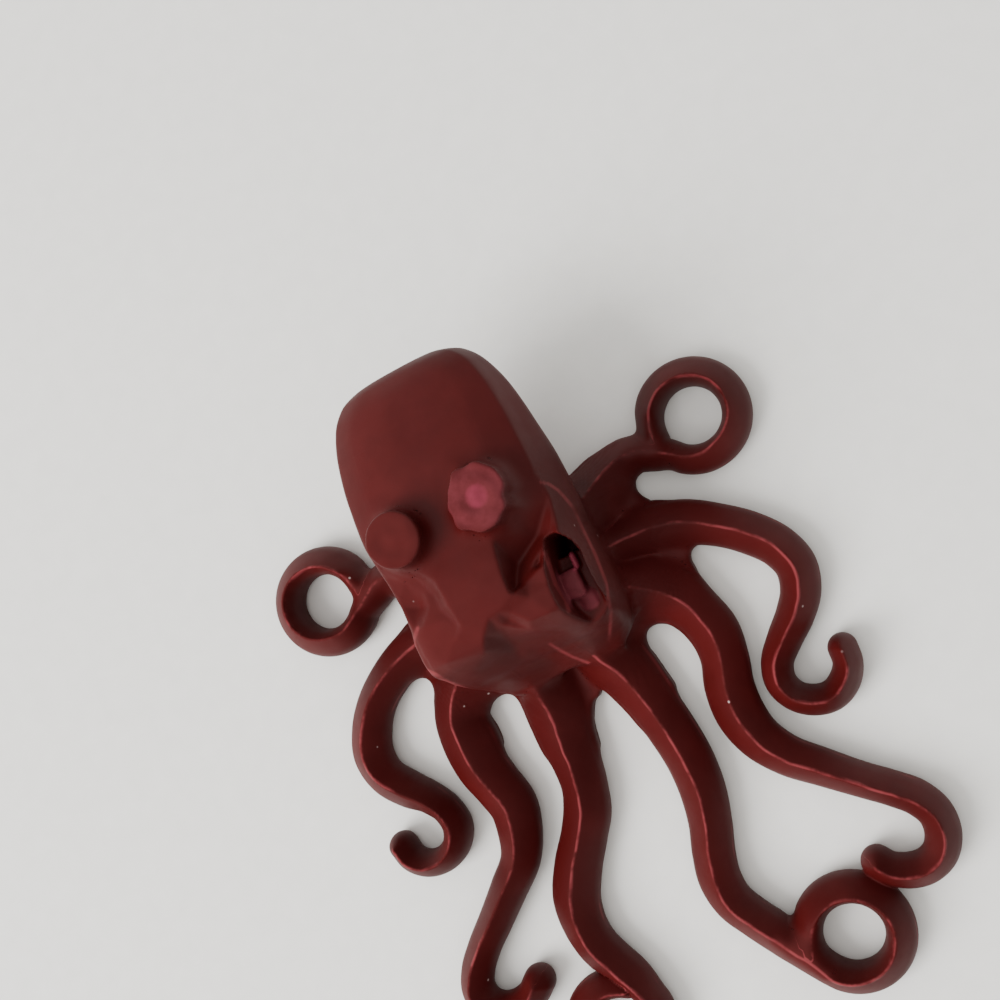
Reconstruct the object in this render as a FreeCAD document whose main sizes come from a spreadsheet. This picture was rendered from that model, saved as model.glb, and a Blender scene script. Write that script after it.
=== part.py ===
import FreeCAD, Part

import math
import os

import Sketcher
from FreeCAD import Placement, Vector

# A small moulded toy octopus that lies on its eight flat arms.
# Millimetres. +Z is up, +Y points to the crown at the back of the head, the mirror
# plane of the head is X = 0, and the origin is the mouth of the socket in the base.

os.makedirs("parts", exist_ok=True)
doc = FreeCAD.newDocument("octopus")

# Driving sizes

SIZES = [
    ("reach", 20.0, "body centre to the far edge of a side hook"),
    ("arm_width", 2.9, "width of an arm where it leaves the body"),
    ("ridge_height", 3.0, "height of the ridge along each arm"),
    ("edge_height", 1.35, "height of the widest place of an arm"),
    ("loop_outside", 7.0, "outside diameter of a closed loop"),
    ("loop_bore", 3.2, "bore of a closed loop, for a round rod"),
    ("bore_low", 0.5, "height where the bore's straight wall starts"),
    ("bore_high", 2.4, "height where the bore's straight wall ends"),
    ("bore_sleeve", 0.35, "least wall of a loop beside the arm that runs into it"),
    ("base_half_width", 5.3, "half the width of the base"),
    ("base_front", 5.9, "origin to the front edge of the base"),
    ("base_back", 4.7, "origin to the back edge of the base"),
    ("base_corner", 2.2, "corner cut of the base"),
    ("base_fillet", 0.8, "radius between the edges of the base"),
    ("web_height", 1.2, "height of the web in the crotches between the arms"),
    ("socket_bore", 4.9, "bore of the socket in the base"),
    ("head_half_width", 5.85, "half the widest width of the head"),
    ("head_top", 13.1, "height of the brow"),
    ("head_back", 12.85, "origin to the flat end of the crown"),
    ("face_front", 6.1, "origin to the foot of the front wall"),
    ("brow_line", 1.9, "origin to the plane where head and face meet"),
    ("eye_radius", 1.45, "radius of an eye boss"),
    ("eye_spread", 2.55, "mirror plane to the centre of an eye"),
    ("eye_back", 3.7, "origin to the centre line of the eyes"),
    ("eye_rise", 1.5, "height of the rim of an eye over the brow"),
    ("eye_root", 1.5, "how far an eye boss reaches below the brow's height"),
    ("eye_chamfer", 0.3, "chamfer round the rim of an eye"),
    ("pupil_radius", 0.75, "radius of the raised pupil"),
    ("pupil_rise", 0.35, "height of the pupil over the rim"),
    ("slot_wall", 0.85, "widest side of the head to the outer side of a side window"),
    ("slot_width_right", 1.4, "width of the right window"),
    ("slot_width_left", 0.75, "width of the left window"),
    ("slot_back", 0.6, "origin to the back end of a side window"),
    ("slot_front", 5.3, "origin to the front end of a side window"),
    ("slot_floor", 6.2, "height of the floor of a side window"),
    ("rib_thick_right", 0.9, "thickness of the rib inside the right window"),
    ("rib_thick_left", 0.4, "thickness of the rib inside the left window"),
    ("rib_top", 9.8, "height of the rib's main step"),
]

sheet = doc.addObject("Spreadsheet::Sheet", "Sizes")
for row, (name, value, meaning) in enumerate(SIZES, start=1):
    sheet.set("A%d" % row, name)
    sheet.set("B%d" % row, str(value))
    sheet.set("C%d" % row, meaning)
    sheet.setAlias("B%d" % row, name)
doc.recompute()

HALF = 0.5
QUARTER = 0.25
FULL_TURN = 360.0
HALF_TURN = 180.0


def size(name):
    """The value of one named size."""
    return float(sheet.get(name))


# A length in a sketch is a list of terms, each a size's name and its share.

def amount(terms):
    return sum(size(name) * share for name, share in terms)


def formula(terms):
    return " + ".join("Sizes.%s * %r" % (name, share) for name, share in terms)


def body_plane(body, role):
    for feature in body.Origin.OriginFeatures:
        if feature.Role == role:
            return feature
    raise ValueError("no plane " + role)


def outline_sketch(body, name, role, corners):
    """A closed outline of straight edges, each corner bound to the sheet."""
    sketch = body.newObject("Sketcher::SketchObject", name)
    sketch.AttachmentSupport = [(body_plane(body, role), "")]
    sketch.MapMode = "FlatFace"
    points = [Vector(amount(across), amount(up), 0) for across, up in corners]
    for start, end in zip(points, points[1:] + points[:1]):
        sketch.addGeometry(Part.LineSegment(start, end), False)
    count = len(points)
    for index in range(count):
        sketch.addConstraint(Sketcher.Constraint("Coincident", index, 2, (index + 1) % count, 1))
    for index, (across, up) in enumerate(corners):
        bind_corner(sketch, index, "DistanceX", across, -2)
        bind_corner(sketch, index, "DistanceY", up, -1)
    return sketch


def bind_corner(sketch, index, kind, terms, axis):
    """Tie one coordinate of a corner to the sheet, or to the axis where it is zero."""
    if not terms:
        sketch.addConstraint(Sketcher.Constraint("PointOnObject", index, 1, axis))
        return
    number = sketch.addConstraint(Sketcher.Constraint(kind, -1, 1, index, 1, amount(terms)))
    sketch.setExpression("Constraints[%d]" % number, formula(terms))


def new_body(name):
    return doc.addObject("PartDesign::Body", name)


def revolved(body, name, sketch):
    turn = body.newObject("PartDesign::Revolution", name)
    turn.Profile = sketch
    turn.ReferenceAxis = (sketch, ["V_Axis"])
    turn.Angle = FULL_TURN
    sketch.Visibility = False
    return turn


def cut(name, base, tool):
    piece = doc.addObject("Part::Cut", name)
    piece.Base = base
    piece.Tool = tool
    doc.recompute()
    return piece


def plain(name, shape):
    """A solid that the sheet's sizes shape through the formulas of this file."""
    piece = doc.addObject("Part::Feature", name)
    piece.Shape = shape
    piece.Placement = Placement()
    return piece


nodes = []


def keep(piece, label):
    piece.Label = label
    nodes.append(piece)
    return piece


# Arms. Each row of a route is a place across and along, as shares of reach, and a
# width as a share of arm_width. The last row is where a hook or a loop takes over.

REAR_RIGHT_SHARES = [
    (0.220, 0.050, 1.50), (0.265, 0.110, 1.38), (0.325, 0.152, 1.17),
    (0.385, 0.178, 0.93), (0.440, 0.180, 0.85), (0.490, 0.155, 0.76),
]
SIDE_RIGHT_SHARES = [
    (0.230, -0.045, 1.24), (0.315, -0.040, 1.14), (0.400, -0.042, 1.03),
    (0.480, -0.065, 0.97), (0.565, -0.115, 0.90), (0.640, -0.180, 0.90),
    (0.690, -0.245, 0.88), (0.710, -0.310, 0.86), (0.690, -0.385, 0.83),
    (0.645, -0.440, 0.79), (0.590, -0.488, 0.73),
]
SIDE_RIGHT_HOOK_SHARES = [
    (0.590, -0.488, 0.73), (0.538, -0.545, 0.67), (0.525, -0.595, 0.66),
    (0.543, -0.645, 0.64), (0.585, -0.678, 0.65), (0.640, -0.688, 0.65),
    (0.690, -0.663, 0.65), (0.720, -0.620, 0.62), (0.725, -0.578, 0.62),
]
MID_RIGHT_SHARES = [
    (0.220, -0.135, 1.50), (0.295, -0.180, 1.45), (0.360, -0.238, 1.25),
    (0.398, -0.310, 1.05), (0.418, -0.385, 1.03), (0.410, -0.465, 1.00),
    (0.385, -0.550, 1.03), (0.380, -0.630, 1.03), (0.398, -0.710, 0.95),
    (0.445, -0.785, 0.86), (0.525, -0.860, 0.79), (0.615, -0.940, 0.73),
    (0.675, -0.990, 0.73),
]
MID_RIGHT_HOOK_SHARES = [
    (0.675, -0.990, 0.73), (0.725, -1.040, 0.74), (0.750, -1.095, 0.73),
    (0.743, -1.155, 0.73), (0.710, -1.200, 0.72), (0.660, -1.218, 0.72),
    (0.610, -1.210, 0.71), (0.568, -1.185, 0.67), (0.545, -1.155, 0.66),
]
FRONT_RIGHT_SHARES = [
    (0.095, -0.245, 1.31), (0.110, -0.320, 1.28), (0.138, -0.400, 1.20),
    (0.160, -0.490, 1.07), (0.178, -0.590, 1.03), (0.188, -0.690, 1.00),
    (0.183, -0.780, 0.97), (0.160, -0.880, 0.91), (0.130, -0.965, 0.90),
    (0.115, -1.035, 0.90), (0.123, -1.105, 0.86), (0.158, -1.170, 0.83),
    (0.208, -1.245, 0.83), (0.255, -1.320, 0.76),
]
FRONT_LEFT_SHARES = [
    (-0.095, -0.245, 1.31), (-0.105, -0.330, 1.34), (-0.113, -0.410, 1.30),
    (-0.122, -0.490, 1.17), (-0.125, -0.560, 1.07), (-0.135, -0.635, 1.00),
    (-0.160, -0.705, 1.03), (-0.200, -0.765, 1.00), (-0.260, -0.845, 1.03),
    (-0.305, -0.930, 1.03), (-0.315, -1.010, 0.95), (-0.305, -1.075, 0.90),
    (-0.278, -1.135, 0.86), (-0.248, -1.195, 0.83),
]
MID_LEFT_SHARES = [
    (-0.220, -0.135, 1.45), (-0.295, -0.180, 1.40), (-0.360, -0.235, 1.22),
    (-0.400, -0.300, 1.14), (-0.405, -0.375, 1.21), (-0.400, -0.455, 1.17),
    (-0.380, -0.530, 1.10), (-0.363, -0.605, 1.07), (-0.375, -0.670, 1.00),
    (-0.410, -0.750, 0.88), (-0.485, -0.820, 0.82), (-0.565, -0.890, 0.76),
    (-0.640, -0.955, 0.73),
]
MID_LEFT_HOOK_SHARES = [
    (-0.640, -0.955, 0.73), (-0.685, -1.005, 0.73), (-0.708, -1.055, 0.73),
    (-0.700, -1.105, 0.73), (-0.660, -1.140, 0.72), (-0.610, -1.148, 0.71),
    (-0.560, -1.135, 0.69), (-0.518, -1.103, 0.70),
]
SIDE_LEFT_SHARES = [
    (-0.230, -0.045, 1.24), (-0.315, -0.040, 1.14), (-0.400, -0.042, 1.03),
    (-0.475, -0.060, 0.97), (-0.555, -0.095, 0.90), (-0.630, -0.150, 0.88),
    (-0.680, -0.215, 0.90), (-0.708, -0.290, 0.91), (-0.698, -0.360, 0.86),
    (-0.650, -0.425, 0.83), (-0.595, -0.480, 0.71),
]
SIDE_LEFT_HOOK_SHARES = [
    (-0.595, -0.480, 0.71), (-0.560, -0.535, 0.66), (-0.553, -0.590, 0.66),
    (-0.580, -0.638, 0.62), (-0.630, -0.663, 0.60), (-0.685, -0.658, 0.60),
    (-0.725, -0.625, 0.60), (-0.740, -0.575, 0.62),
]
REAR_LEFT_SHARES = [(-across, along, wide) for across, along, wide in REAR_RIGHT_SHARES]

# Loops. Centre as shares of reach, and the place on the loop where its arm runs in, as
# a share of a full turn. Right loops run on anticlockwise from above, left ones clockwise.

LOOP_SHARES = {
    "loop_rear_right": (0.638, 0.205, 0.611),
    "loop_rear_left": (-0.638, 0.205, 0.889),
    "loop_front_right": (0.400, -1.310, 0.597),
    "loop_front_left": (-0.340, -1.315, 0.056),
}

# The flat foot of an arm's section, as a share of its width
FOOT_SHARE = 0.48
# The flat foot of a loop: how its inner edge is shared out between bore and outside
RING_FOOT_SHARES = (0.36, 0.14)


def section(place, along, width):
    """The corners of an upright section of an arm: flat foot, two sides and ridge."""
    left = Vector(-along.y, along.x, 0)
    left.normalize()
    side = width * HALF
    foot = side * FOOT_SHARE
    corners = [
        (-foot, 0), (foot, 0), (side, size("edge_height")),
        (0, size("ridge_height")), (-side, size("edge_height")),
    ]
    return [place + left * across + Vector(0, 0, up) for across, up in corners]


# Sections from each station of an arm to the next
ARM_STEPS = 2


def loft_arm(stations, first_along=None, last_along=None):
    """A closed solid through sections whose corners lie on smooth rails."""
    places = [Vector(across, along, 0) for across, along, wide in stations]
    sections = []
    reached = [0.0]
    for index, (across, along, wide) in enumerate(stations):
        before = places[max(index - 1, 0)]
        after = places[min(index + 1, len(places) - 1)]
        heading = after - before
        if index == 0 and first_along:
            heading = first_along
        if index == len(places) - 1 and last_along:
            heading = last_along
        sections.append(section(places[index], heading, wide))
        if index:
            reached.append(reached[-1] + (places[index] - before).Length)
    rails = []
    for corner in range(len(sections[0])):
        rail = Part.BSplineCurve()
        rail.interpolate(Points=[corners[corner] for corners in sections], Parameters=reached)
        rails.append(rail)
    rings = []
    for start, end in zip(reached, reached[1:]):
        for step in range(ARM_STEPS):
            rings.append(rail_section(rails, start + (end - start) * step / ARM_STEPS))
    rings.append(rail_section(rails, reached[-1]))
    return facet_loft(rings)


def rail_section(rails, reached):
    return [rail.value(reached) for rail in rails]


def facet_loft(rings):
    """A closed solid of flat facets between rings of as many corners."""
    faces = [Part.Face(Part.makePolygon(ring + ring[:1])) for ring in (rings[0], rings[-1])]
    for near, far in zip(rings, rings[1:]):
        quads = zip(near, near[1:] + near[:1], far[1:] + far[:1], far)
        for one, two, three, four in quads:
            faces.append(Part.Face(Part.makePolygon([one, two, three, one])))
            faces.append(Part.Face(Part.makePolygon([one, three, four, one])))
    shell = Part.makeShell(faces)
    shell.sewShape()
    solid = Part.Solid(shell)
    if solid.Volume < 0:
        solid.reverse()
    return solid.removeSplitter()


def stations_of(shares):
    reach = size("reach")
    wide = size("arm_width")
    return [(across * reach, along * reach, share * wide) for across, along, share in shares]


def heading_at_joint(arm_shares, hook_shares):
    """The direction in which an arm passes into its hook."""
    before = stations_of(arm_shares)[-2]
    after = stations_of(hook_shares)[1]
    return Vector(after[0] - before[0], after[1] - before[1], 0)


def hook_tip(stations):
    """Half a turn of the last section, which rounds the end of a hook."""
    across, along, wide = stations[-1]
    place = Vector(across, along, 0)
    heading = place - Vector(stations[-2][0], stations[-2][1], 0)
    left = Vector(-heading.y, heading.x, 0)
    left.normalize()
    side = wide * HALF
    corners = [
        (0, 0), (side * FOOT_SHARE, 0), (side, size("edge_height")), (0, size("ridge_height")),
    ]
    points = [place + left * out + Vector(0, 0, up) for out, up in corners]
    half_section = Part.Face(Part.makePolygon(points + points[:1]))
    return half_section.revolve(place, Vector(0, 0, 1), -HALF_TURN)


def loop_station(name):
    """Where an arm runs into its loop: place, width and heading."""
    across, along, turned = LOOP_SHARES[name]
    way = 1 if across > 0 else -1
    inner = size("loop_bore") * HALF + size("bore_sleeve")
    outer = size("loop_outside") * HALF
    middle = (inner + outer) * HALF
    turn = math.radians(turned * FULL_TURN)
    out = Vector(math.cos(turn), math.sin(turn), 0)
    centre = Vector(across * size("reach"), along * size("reach"), 0)
    place = centre + out * middle
    heading = Vector(-out.y * way, out.x * way, 0)
    return (place.x, place.y, outer - inner), heading


def hooked_arm(name, arm_shares, hook_shares):
    joint = heading_at_joint(arm_shares, hook_shares)
    arm = plain(name + "_route", loft_arm(stations_of(arm_shares), None, joint))
    stations = stations_of(hook_shares)
    last = Vector(stations[-1][0] - stations[-2][0], stations[-1][1] - stations[-2][1], 0)
    bend = loft_arm(stations, joint, last)
    hook = plain(name + "_bend", bend.fuse(hook_tip(stations)).removeSplitter())
    return arm, hook


def looped_arm(name, arm_shares):
    """An arm that runs into a loop and ends on the outer side of its ring."""
    last, heading = loop_station("loop_" + name)
    route = plain(name + "_route", loft_arm(stations_of(arm_shares) + [last], None, heading))
    clear = cut(name + "_clear", route, plain(name + "_ring", filled_ring("loop_" + name)))
    return plain(name + "_joined", largest(clear.Shape))


def largest(shape):
    """The main solid of a cut, without what lies on the far side of the tool."""
    return max(shape.Solids, key=lambda solid: solid.Volume)


def filled_ring(name):
    """A ring's outer side, filled in to its axis and run on above and below it."""
    across, along, turned = LOOP_SHARES[name]
    centre = Vector(across * size("reach"), along * size("reach"), 0)
    outer = size("loop_outside") * HALF
    middle = (outer + size("loop_bore") * HALF) * HALF
    near, far = RING_FOOT_SHARES
    foot = size("loop_bore") * far + size("loop_outside") * near
    top = size("ridge_height")
    corners = [
        (0, -top), (foot, -top), (foot, 0), (outer, size("edge_height")), (middle, top),
        (middle, top + top), (0, top + top),
    ]
    points = [centre + Vector(out, 0, up) for out, up in corners]
    profile = Part.Face(Part.makePolygon(points + points[:1]))
    return profile.revolve(centre, Vector(0, 0, 1), FULL_TURN)


def loop_ring(name):
    """The ring of a closed loop, revolved round its bore."""
    across, along, turned = LOOP_SHARES[name]
    inner = [("loop_bore", HALF)]
    outer = [("loop_outside", HALF)]
    near, far = RING_FOOT_SHARES
    middle = [("loop_bore", QUARTER), ("loop_outside", QUARTER)]
    foot_in = [("loop_bore", near), ("loop_outside", far)]
    foot_out = [("loop_bore", far), ("loop_outside", near)]
    corners = [
        (inner, [("bore_low", 1.0)]), (foot_in, []), (foot_out, []),
        (outer, [("edge_height", 1.0)]), (middle, [("ridge_height", 1.0)]),
        (inner, [("bore_high", 1.0)]),
    ]
    body = new_body(name + "_ring")
    sketch = outline_sketch(body, name + "_profile", "XZ_Plane", corners)
    revolved(body, name + "_turn", sketch)
    body.setExpression("Placement.Base.x", "Sizes.reach * %r" % across)
    body.setExpression("Placement.Base.y", "Sizes.reach * %r" % along)
    doc.recompute()
    return body


# Base: the plate under the body that the eight arms grow from, with its socket and the
# web between the arms

# The web's right half as shares of reach, from the back to the front: a corner in each
# crotch, and between two crotches one under the arm
WEB_SHARES = [
    (0.200, 0.200), (0.380, 0.165), (0.335, 0.060), (0.450, -0.050), (0.415, -0.125),
    (0.400, -0.300), (0.250, -0.290), (0.140, -0.420),
]
WEB_FRONT_SHARE = -0.330


def make_base():
    body = new_body("base_body")
    wide = [("base_half_width", 1.0)]
    narrow = [("base_half_width", 1.0), ("base_corner", -1.0)]
    front = [("base_front", -1.0)]
    front_side = [("base_front", -1.0), ("base_corner", 1.0)]
    back = [("base_back", 1.0)]
    back_side = [("base_back", 1.0), ("base_corner", -1.0)]
    right = [(narrow, front), (wide, front_side), (wide, back_side), (narrow, back)]
    left = [([(name, -share) for name, share in across], up) for across, up in reversed(right)]
    sketch = outline_sketch(body, "base_outline", "XY_Plane", right + left)
    pad = body.newObject("PartDesign::Pad", "base_pad")
    pad.Profile = sketch
    pad.setExpression("Length", "Sizes.ridge_height")
    doc.recompute()
    upright = []
    for number, edge in enumerate(pad.Shape.Edges, start=1):
        box = edge.BoundBox
        if box.ZLength > size("ridge_height") * HALF:
            upright.append("Edge%d" % number)
    rounding = body.newObject("PartDesign::Fillet", "base_rounding")
    rounding.Base = (pad, upright)
    rounding.setExpression("Radius", "Sizes.base_fillet")
    doc.recompute()
    right = [([("reach", across)], [("reach", along)]) for across, along in WEB_SHARES]
    left = [([("reach", -across)], [("reach", along)]) for across, along in WEB_SHARES]
    corners = left + [([], [("reach", WEB_FRONT_SHARE)])] + list(reversed(right))
    web = body.newObject("PartDesign::Pad", "web_pad")
    web.Profile = outline_sketch(body, "web_outline", "XY_Plane", corners)
    web.setExpression("Length", "Sizes.web_height")
    doc.recompute()
    circle = body.newObject("Sketcher::SketchObject", "socket_outline")
    circle.AttachmentSupport = [(body_plane(body, "XY_Plane"), "")]
    circle.MapMode = "FlatFace"
    radius = size("socket_bore") * HALF
    circle.addGeometry(Part.Circle(Vector(0, 0, 0), Vector(0, 0, 1), radius), False)
    circle.addConstraint(Sketcher.Constraint("Coincident", 0, 3, -1, 1))
    number = circle.addConstraint(Sketcher.Constraint("Radius", 0, radius))
    circle.setExpression("Constraints[%d]" % number, "Sizes.socket_bore * %r" % HALF)
    pocket = body.newObject("PartDesign::Pocket", "socket")
    pocket.Profile = circle
    pocket.Type = "ThroughAll"
    pocket.Reversed = True
    doc.recompute()
    return body


# Head and face. Each row is a section square to +Y: its place along, the corners of its
# right half from the foot up to the ridge beside the mirror plane, and its crest.
# Across are shares of head_half_width, up are shares of the way from ridge_height to
# head_top, and along are shares of head_back in the head and of face_front, forward of
# the origin, in the face.

BROW_SHARES = (
    (0.88, 0.000), (0.97, 0.559), (0.945, 0.715), (0.72, 0.851), (0.47, 0.903),
    (0.25, 0.987), (0.0, 0.994),
)
HEAD_SHARES = [
    (0.249, (0.80, 0.000), (1.00, 0.598), (0.97, 0.741), (0.79, 0.864), (0.52, 0.942),
     (0.25, 0.990), (0.0, 1.000)),
    (0.358, (0.74, 0.000), (1.015, 0.624), (0.985, 0.754), (0.84, 0.864), (0.58, 0.955),
     (0.28, 0.994), (0.0, 1.000)),
    (0.545, (0.60, 0.092), (0.985, 0.624), (0.96, 0.741), (0.83, 0.851), (0.58, 0.942),
     (0.28, 0.981), (0.0, 0.990)),
    (0.716, (0.50, 0.196), (0.930, 0.617), (0.91, 0.721), (0.79, 0.812), (0.56, 0.890),
     (0.27, 0.929), (0.0, 0.935)),
    (0.864, (0.43, 0.300), (0.82, 0.617), (0.80, 0.695), (0.71, 0.767), (0.50, 0.825),
     (0.25, 0.851), (0.0, 0.857)),
    (0.949, (0.36, 0.403), (0.675, 0.611), (0.655, 0.669), (0.58, 0.721), (0.41, 0.760),
     (0.20, 0.777), (0.0, 0.780)),
    (1.000, (0.26, 0.481), (0.46, 0.604), (0.445, 0.637), (0.39, 0.669), (0.27, 0.691),
     (0.13, 0.702), (0.0, 0.704)),
]
FACE_SHARES = [
    (-0.13, (0.915, 0.000), (0.915, 0.520), (0.89, 0.656), (0.68, 0.792), (0.45, 0.851),
     (0.245, 0.981), (0.0, 0.991)),
    (0.07, (0.915, 0.000), (0.93, 0.481), (0.915, 0.611), (0.70, 0.812), (0.49, 0.883),
     (0.25, 0.981), (0.0, 0.990)),
    (0.25, (0.915, 0.000), (0.935, 0.455), (0.92, 0.598), (0.74, 0.851), (0.55, 0.942),
     (0.26, 0.987), (0.0, 0.981)),
    (0.39, (0.915, 0.000), (0.935, 0.442), (0.92, 0.585), (0.75, 0.844), (0.56, 0.942),
     (0.25, 0.942), (0.0, 0.903)),
    (0.54, (0.915, 0.000), (0.93, 0.416), (0.915, 0.559), (0.73, 0.799), (0.54, 0.896),
     (0.23, 0.857), (0.0, 0.792)),
    (0.66, (0.895, 0.000), (0.91, 0.351), (0.89, 0.481), (0.69, 0.669), (0.51, 0.741),
     (0.22, 0.702), (0.0, 0.624)),
    (0.77, (0.84, 0.000), (0.85, 0.248), (0.83, 0.339), (0.61, 0.468), (0.45, 0.507),
     (0.21, 0.481), (0.0, 0.436)),
    (0.885, (0.74, 0.000), (0.75, 0.118), (0.72, 0.170), (0.55, 0.241), (0.40, 0.267),
     (0.20, 0.254), (0.0, 0.228)),
    (1.00, (0.62, 0.000), (0.60, 0.034), (0.57, 0.047), (0.45, 0.073), (0.33, 0.086),
     (0.17, 0.086), (0.0, 0.079)),
]
# Sections from each row to the next, and chords from each corner to the next
STEPS = 2

# How far along a section's curve its corners lie, as shares of its right half
RIGHT_SHARES = [0.0, 0.43, 0.54, 0.68, 0.79, 0.895, 1.0]
CORNER_SHARES = RIGHT_SHARES + [2 - share for share in reversed(RIGHT_SHARES[:-1])]


def slopes(places, values):
    """Slopes of a smooth curve through the values that never swings past one."""
    steps = [
        (after - before) / (end - start)
        for before, after, start, end in zip(values, values[1:], places, places[1:])
    ]
    found = [steps[0]]
    for one, other in zip(steps, steps[1:]):
        same_way = one * other > 0
        found.append(one * other / (one + other) / HALF if same_way else 0.0)
    return found + [steps[-1]]


def between(start, end, share, values, pitches):
    """One point of that curve, a share of the way from start to end."""
    run = end - start
    rest = 1 - share
    return (
        values[0] * rest * rest * (1 + share / HALF) + run * pitches[0] * rest * rest * share
        + values[1] * share * share * (1 + rest / HALF) - run * pitches[1] * share * share * rest
    )


def finer(rows):
    """The rows of numbers, with smooth rows set in between them."""
    places = [row[0] for row in rows]
    columns = list(zip(*rows))
    pitches = [slopes(places, column) for column in columns]
    found = []
    for index in range(len(rows) - 1):
        for step in range(STEPS):
            share = step / STEPS
            found.append([
                between(places[index], places[index + 1], share,
                        column[index:index + 2], pitch[index:index + 2])
                for column, pitch in zip(columns, pitches)
            ])
    return found + [list(rows[-1])]


def head_section(numbers):
    """A section of the head: a flat foot line under chords of one smooth curve."""
    along = numbers[0]
    right = [Vector(x, along, z) for x, z in zip(numbers[1::2], numbers[2::2])]
    left = [Vector(-point.x, point.y, point.z) for point in reversed(right[:-1])]
    points = right + left
    curve = Part.BSplineCurve()
    curve.interpolate(Points=points, Parameters=CORNER_SHARES)
    around = []
    for start, end in zip(CORNER_SHARES, CORNER_SHARES[1:]):
        around += [start + (end - start) * step / STEPS for step in range(STEPS)]
    return [curve.value(share) for share in around] + [points[-1]]


def head_loft(rows):
    """A solid through rows, each a place along and the shares of its corners."""
    foot = size("ridge_height")
    rise = size("head_top") - foot
    numbers = []
    for along, corners in rows:
        row = [along]
        for across, up in corners:
            row += [across * size("head_half_width"), foot + up * rise]
        numbers.append(row)
    return facet_loft([head_section(row) for row in finer(numbers)])


def make_head():
    rows = [(size("brow_line"), BROW_SHARES)]
    rows += [(share * size("head_back"), corners) for share, *corners in HEAD_SHARES]
    return head_loft(rows)


def make_face():
    rows = [(size("brow_line"), BROW_SHARES)]
    rows += [(-share * size("face_front"), corners) for share, *corners in FACE_SHARES]
    return head_loft(rows)


# A side window's outline from its back end: across as shares of the way from its inner
# to its outer side, along as shares of the way from slot_back to slot_front
WINDOW_SHARES = [
    (0.10, 0.00), (0.55, 0.02), (0.90, 0.20), (1.00, 0.50), (0.84, 0.78), (0.35, 1.00),
    (0.10, 0.72), (0.00, 0.40),
]


def across_window(hand, share):
    """The terms of a place in a window, a share of the way from its inner side out."""
    return [("head_half_width", 1.0), ("slot_wall", -1.0), ("slot_width_" + hand, share - 1)]


def make_window(side, hand):
    """An upright pocket that opens upward beside a cheek."""
    back = size("slot_back")
    points = [
        Vector(amount(across_window(hand, across)) * side,
               back - along * (back + size("slot_front")), size("slot_floor"))
        for across, along in WINDOW_SHARES
    ]
    outline = Part.Face(Part.makePolygon(points + points[:1]))
    return outline.extrude(Vector(0, 0, size("head_top")))


def make_windows():
    return make_window(1, "right").fuse(make_window(-1, "left"))


# The steps of a rib: their places along as shares of slot_front, their heights as
# shares of the way from slot_floor to rib_top, and the rib's place across the window
RIB_ALONG_SHARES = (-0.70, -0.53, -0.24, -0.09)
RIB_STEP_SHARES = (0.56, 0.72)
RIB_ACROSS_SHARE = 0.45


def part_way(start, end, share):
    """The terms of a place between two sizes."""
    return [(start, 1 - share), (end, share)]


def make_rib(side):
    """The stepped rib that stands in a side window."""
    hand = "right" if side > 0 else "left"
    name = "rib_" + hand
    body = new_body(name)
    floor = [("slot_floor", 1.0)]
    top = [("rib_top", 1.0)]
    low, high = [part_way("slot_floor", "rib_top", share) for share in RIB_STEP_SHARES]
    front, step, back_step, back = [[("slot_front", share)] for share in RIB_ALONG_SHARES]
    corners = [
        (front, floor), (back, floor), (back, high), (back_step, high),
        (back_step, top), (step, top), (step, low), (front, low),
    ]
    sketch = outline_sketch(body, name + "_outline", "YZ_Plane", corners)
    pad = body.newObject("PartDesign::Pad", name + "_pad")
    pad.Profile = sketch
    pad.Midplane = True
    pad.setExpression("Length", "Sizes.rib_thick_" + hand)
    place = formula(across_window(hand, RIB_ACROSS_SHARE))
    body.setExpression("Placement.Base.x", "(%s) * %d" % (place, side))
    doc.recompute()
    return body


# The flat of a pupil, as a share of pupil_radius
PUPIL_TOP_SHARE = 0.80


def make_eye(side, head):
    """A round boss with a raised pupil, its foot cut to the head."""
    name = "eye_right_boss" if side > 0 else "eye_left_boss"
    body = new_body(name)
    foot = [("head_top", 1.0), ("eye_root", -1.0)]
    rim = [("head_top", 1.0), ("eye_rise", 1.0)]
    edge = rim + [("eye_chamfer", -1.0)]
    crest = rim + [("pupil_rise", 1.0)]
    corners = [
        ([], foot),
        ([("eye_radius", 1.0)], foot),
        ([("eye_radius", 1.0)], edge),
        ([("eye_radius", 1.0), ("eye_chamfer", -1.0)], rim),
        ([("pupil_radius", 1.0)], rim),
        ([("pupil_radius", PUPIL_TOP_SHARE)], crest),
        ([], crest),
    ]
    sketch = outline_sketch(body, name + "_profile", "XZ_Plane", corners)
    revolved(body, name + "_turn", sketch)
    body.setExpression("Placement.Base.x", "Sizes.eye_spread * %d" % side)
    body.setExpression("Placement.Base.y", "Sizes.eye_back")
    doc.recompute()
    return cut(name + "_seated", body, head)


base = keep(make_base(), "base")

head = plain("head_loft", make_head())
face = cut("face_windows", plain("face_loft", make_face()), plain("windows", make_windows()))
keep(head, "mantle")
keep(face, "face")
keep(make_eye(1, head), "eye_right")
keep(make_eye(-1, head), "eye_left")
keep(make_rib(1), "window_rib_right")
keep(make_rib(-1), "window_rib_left")

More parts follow.
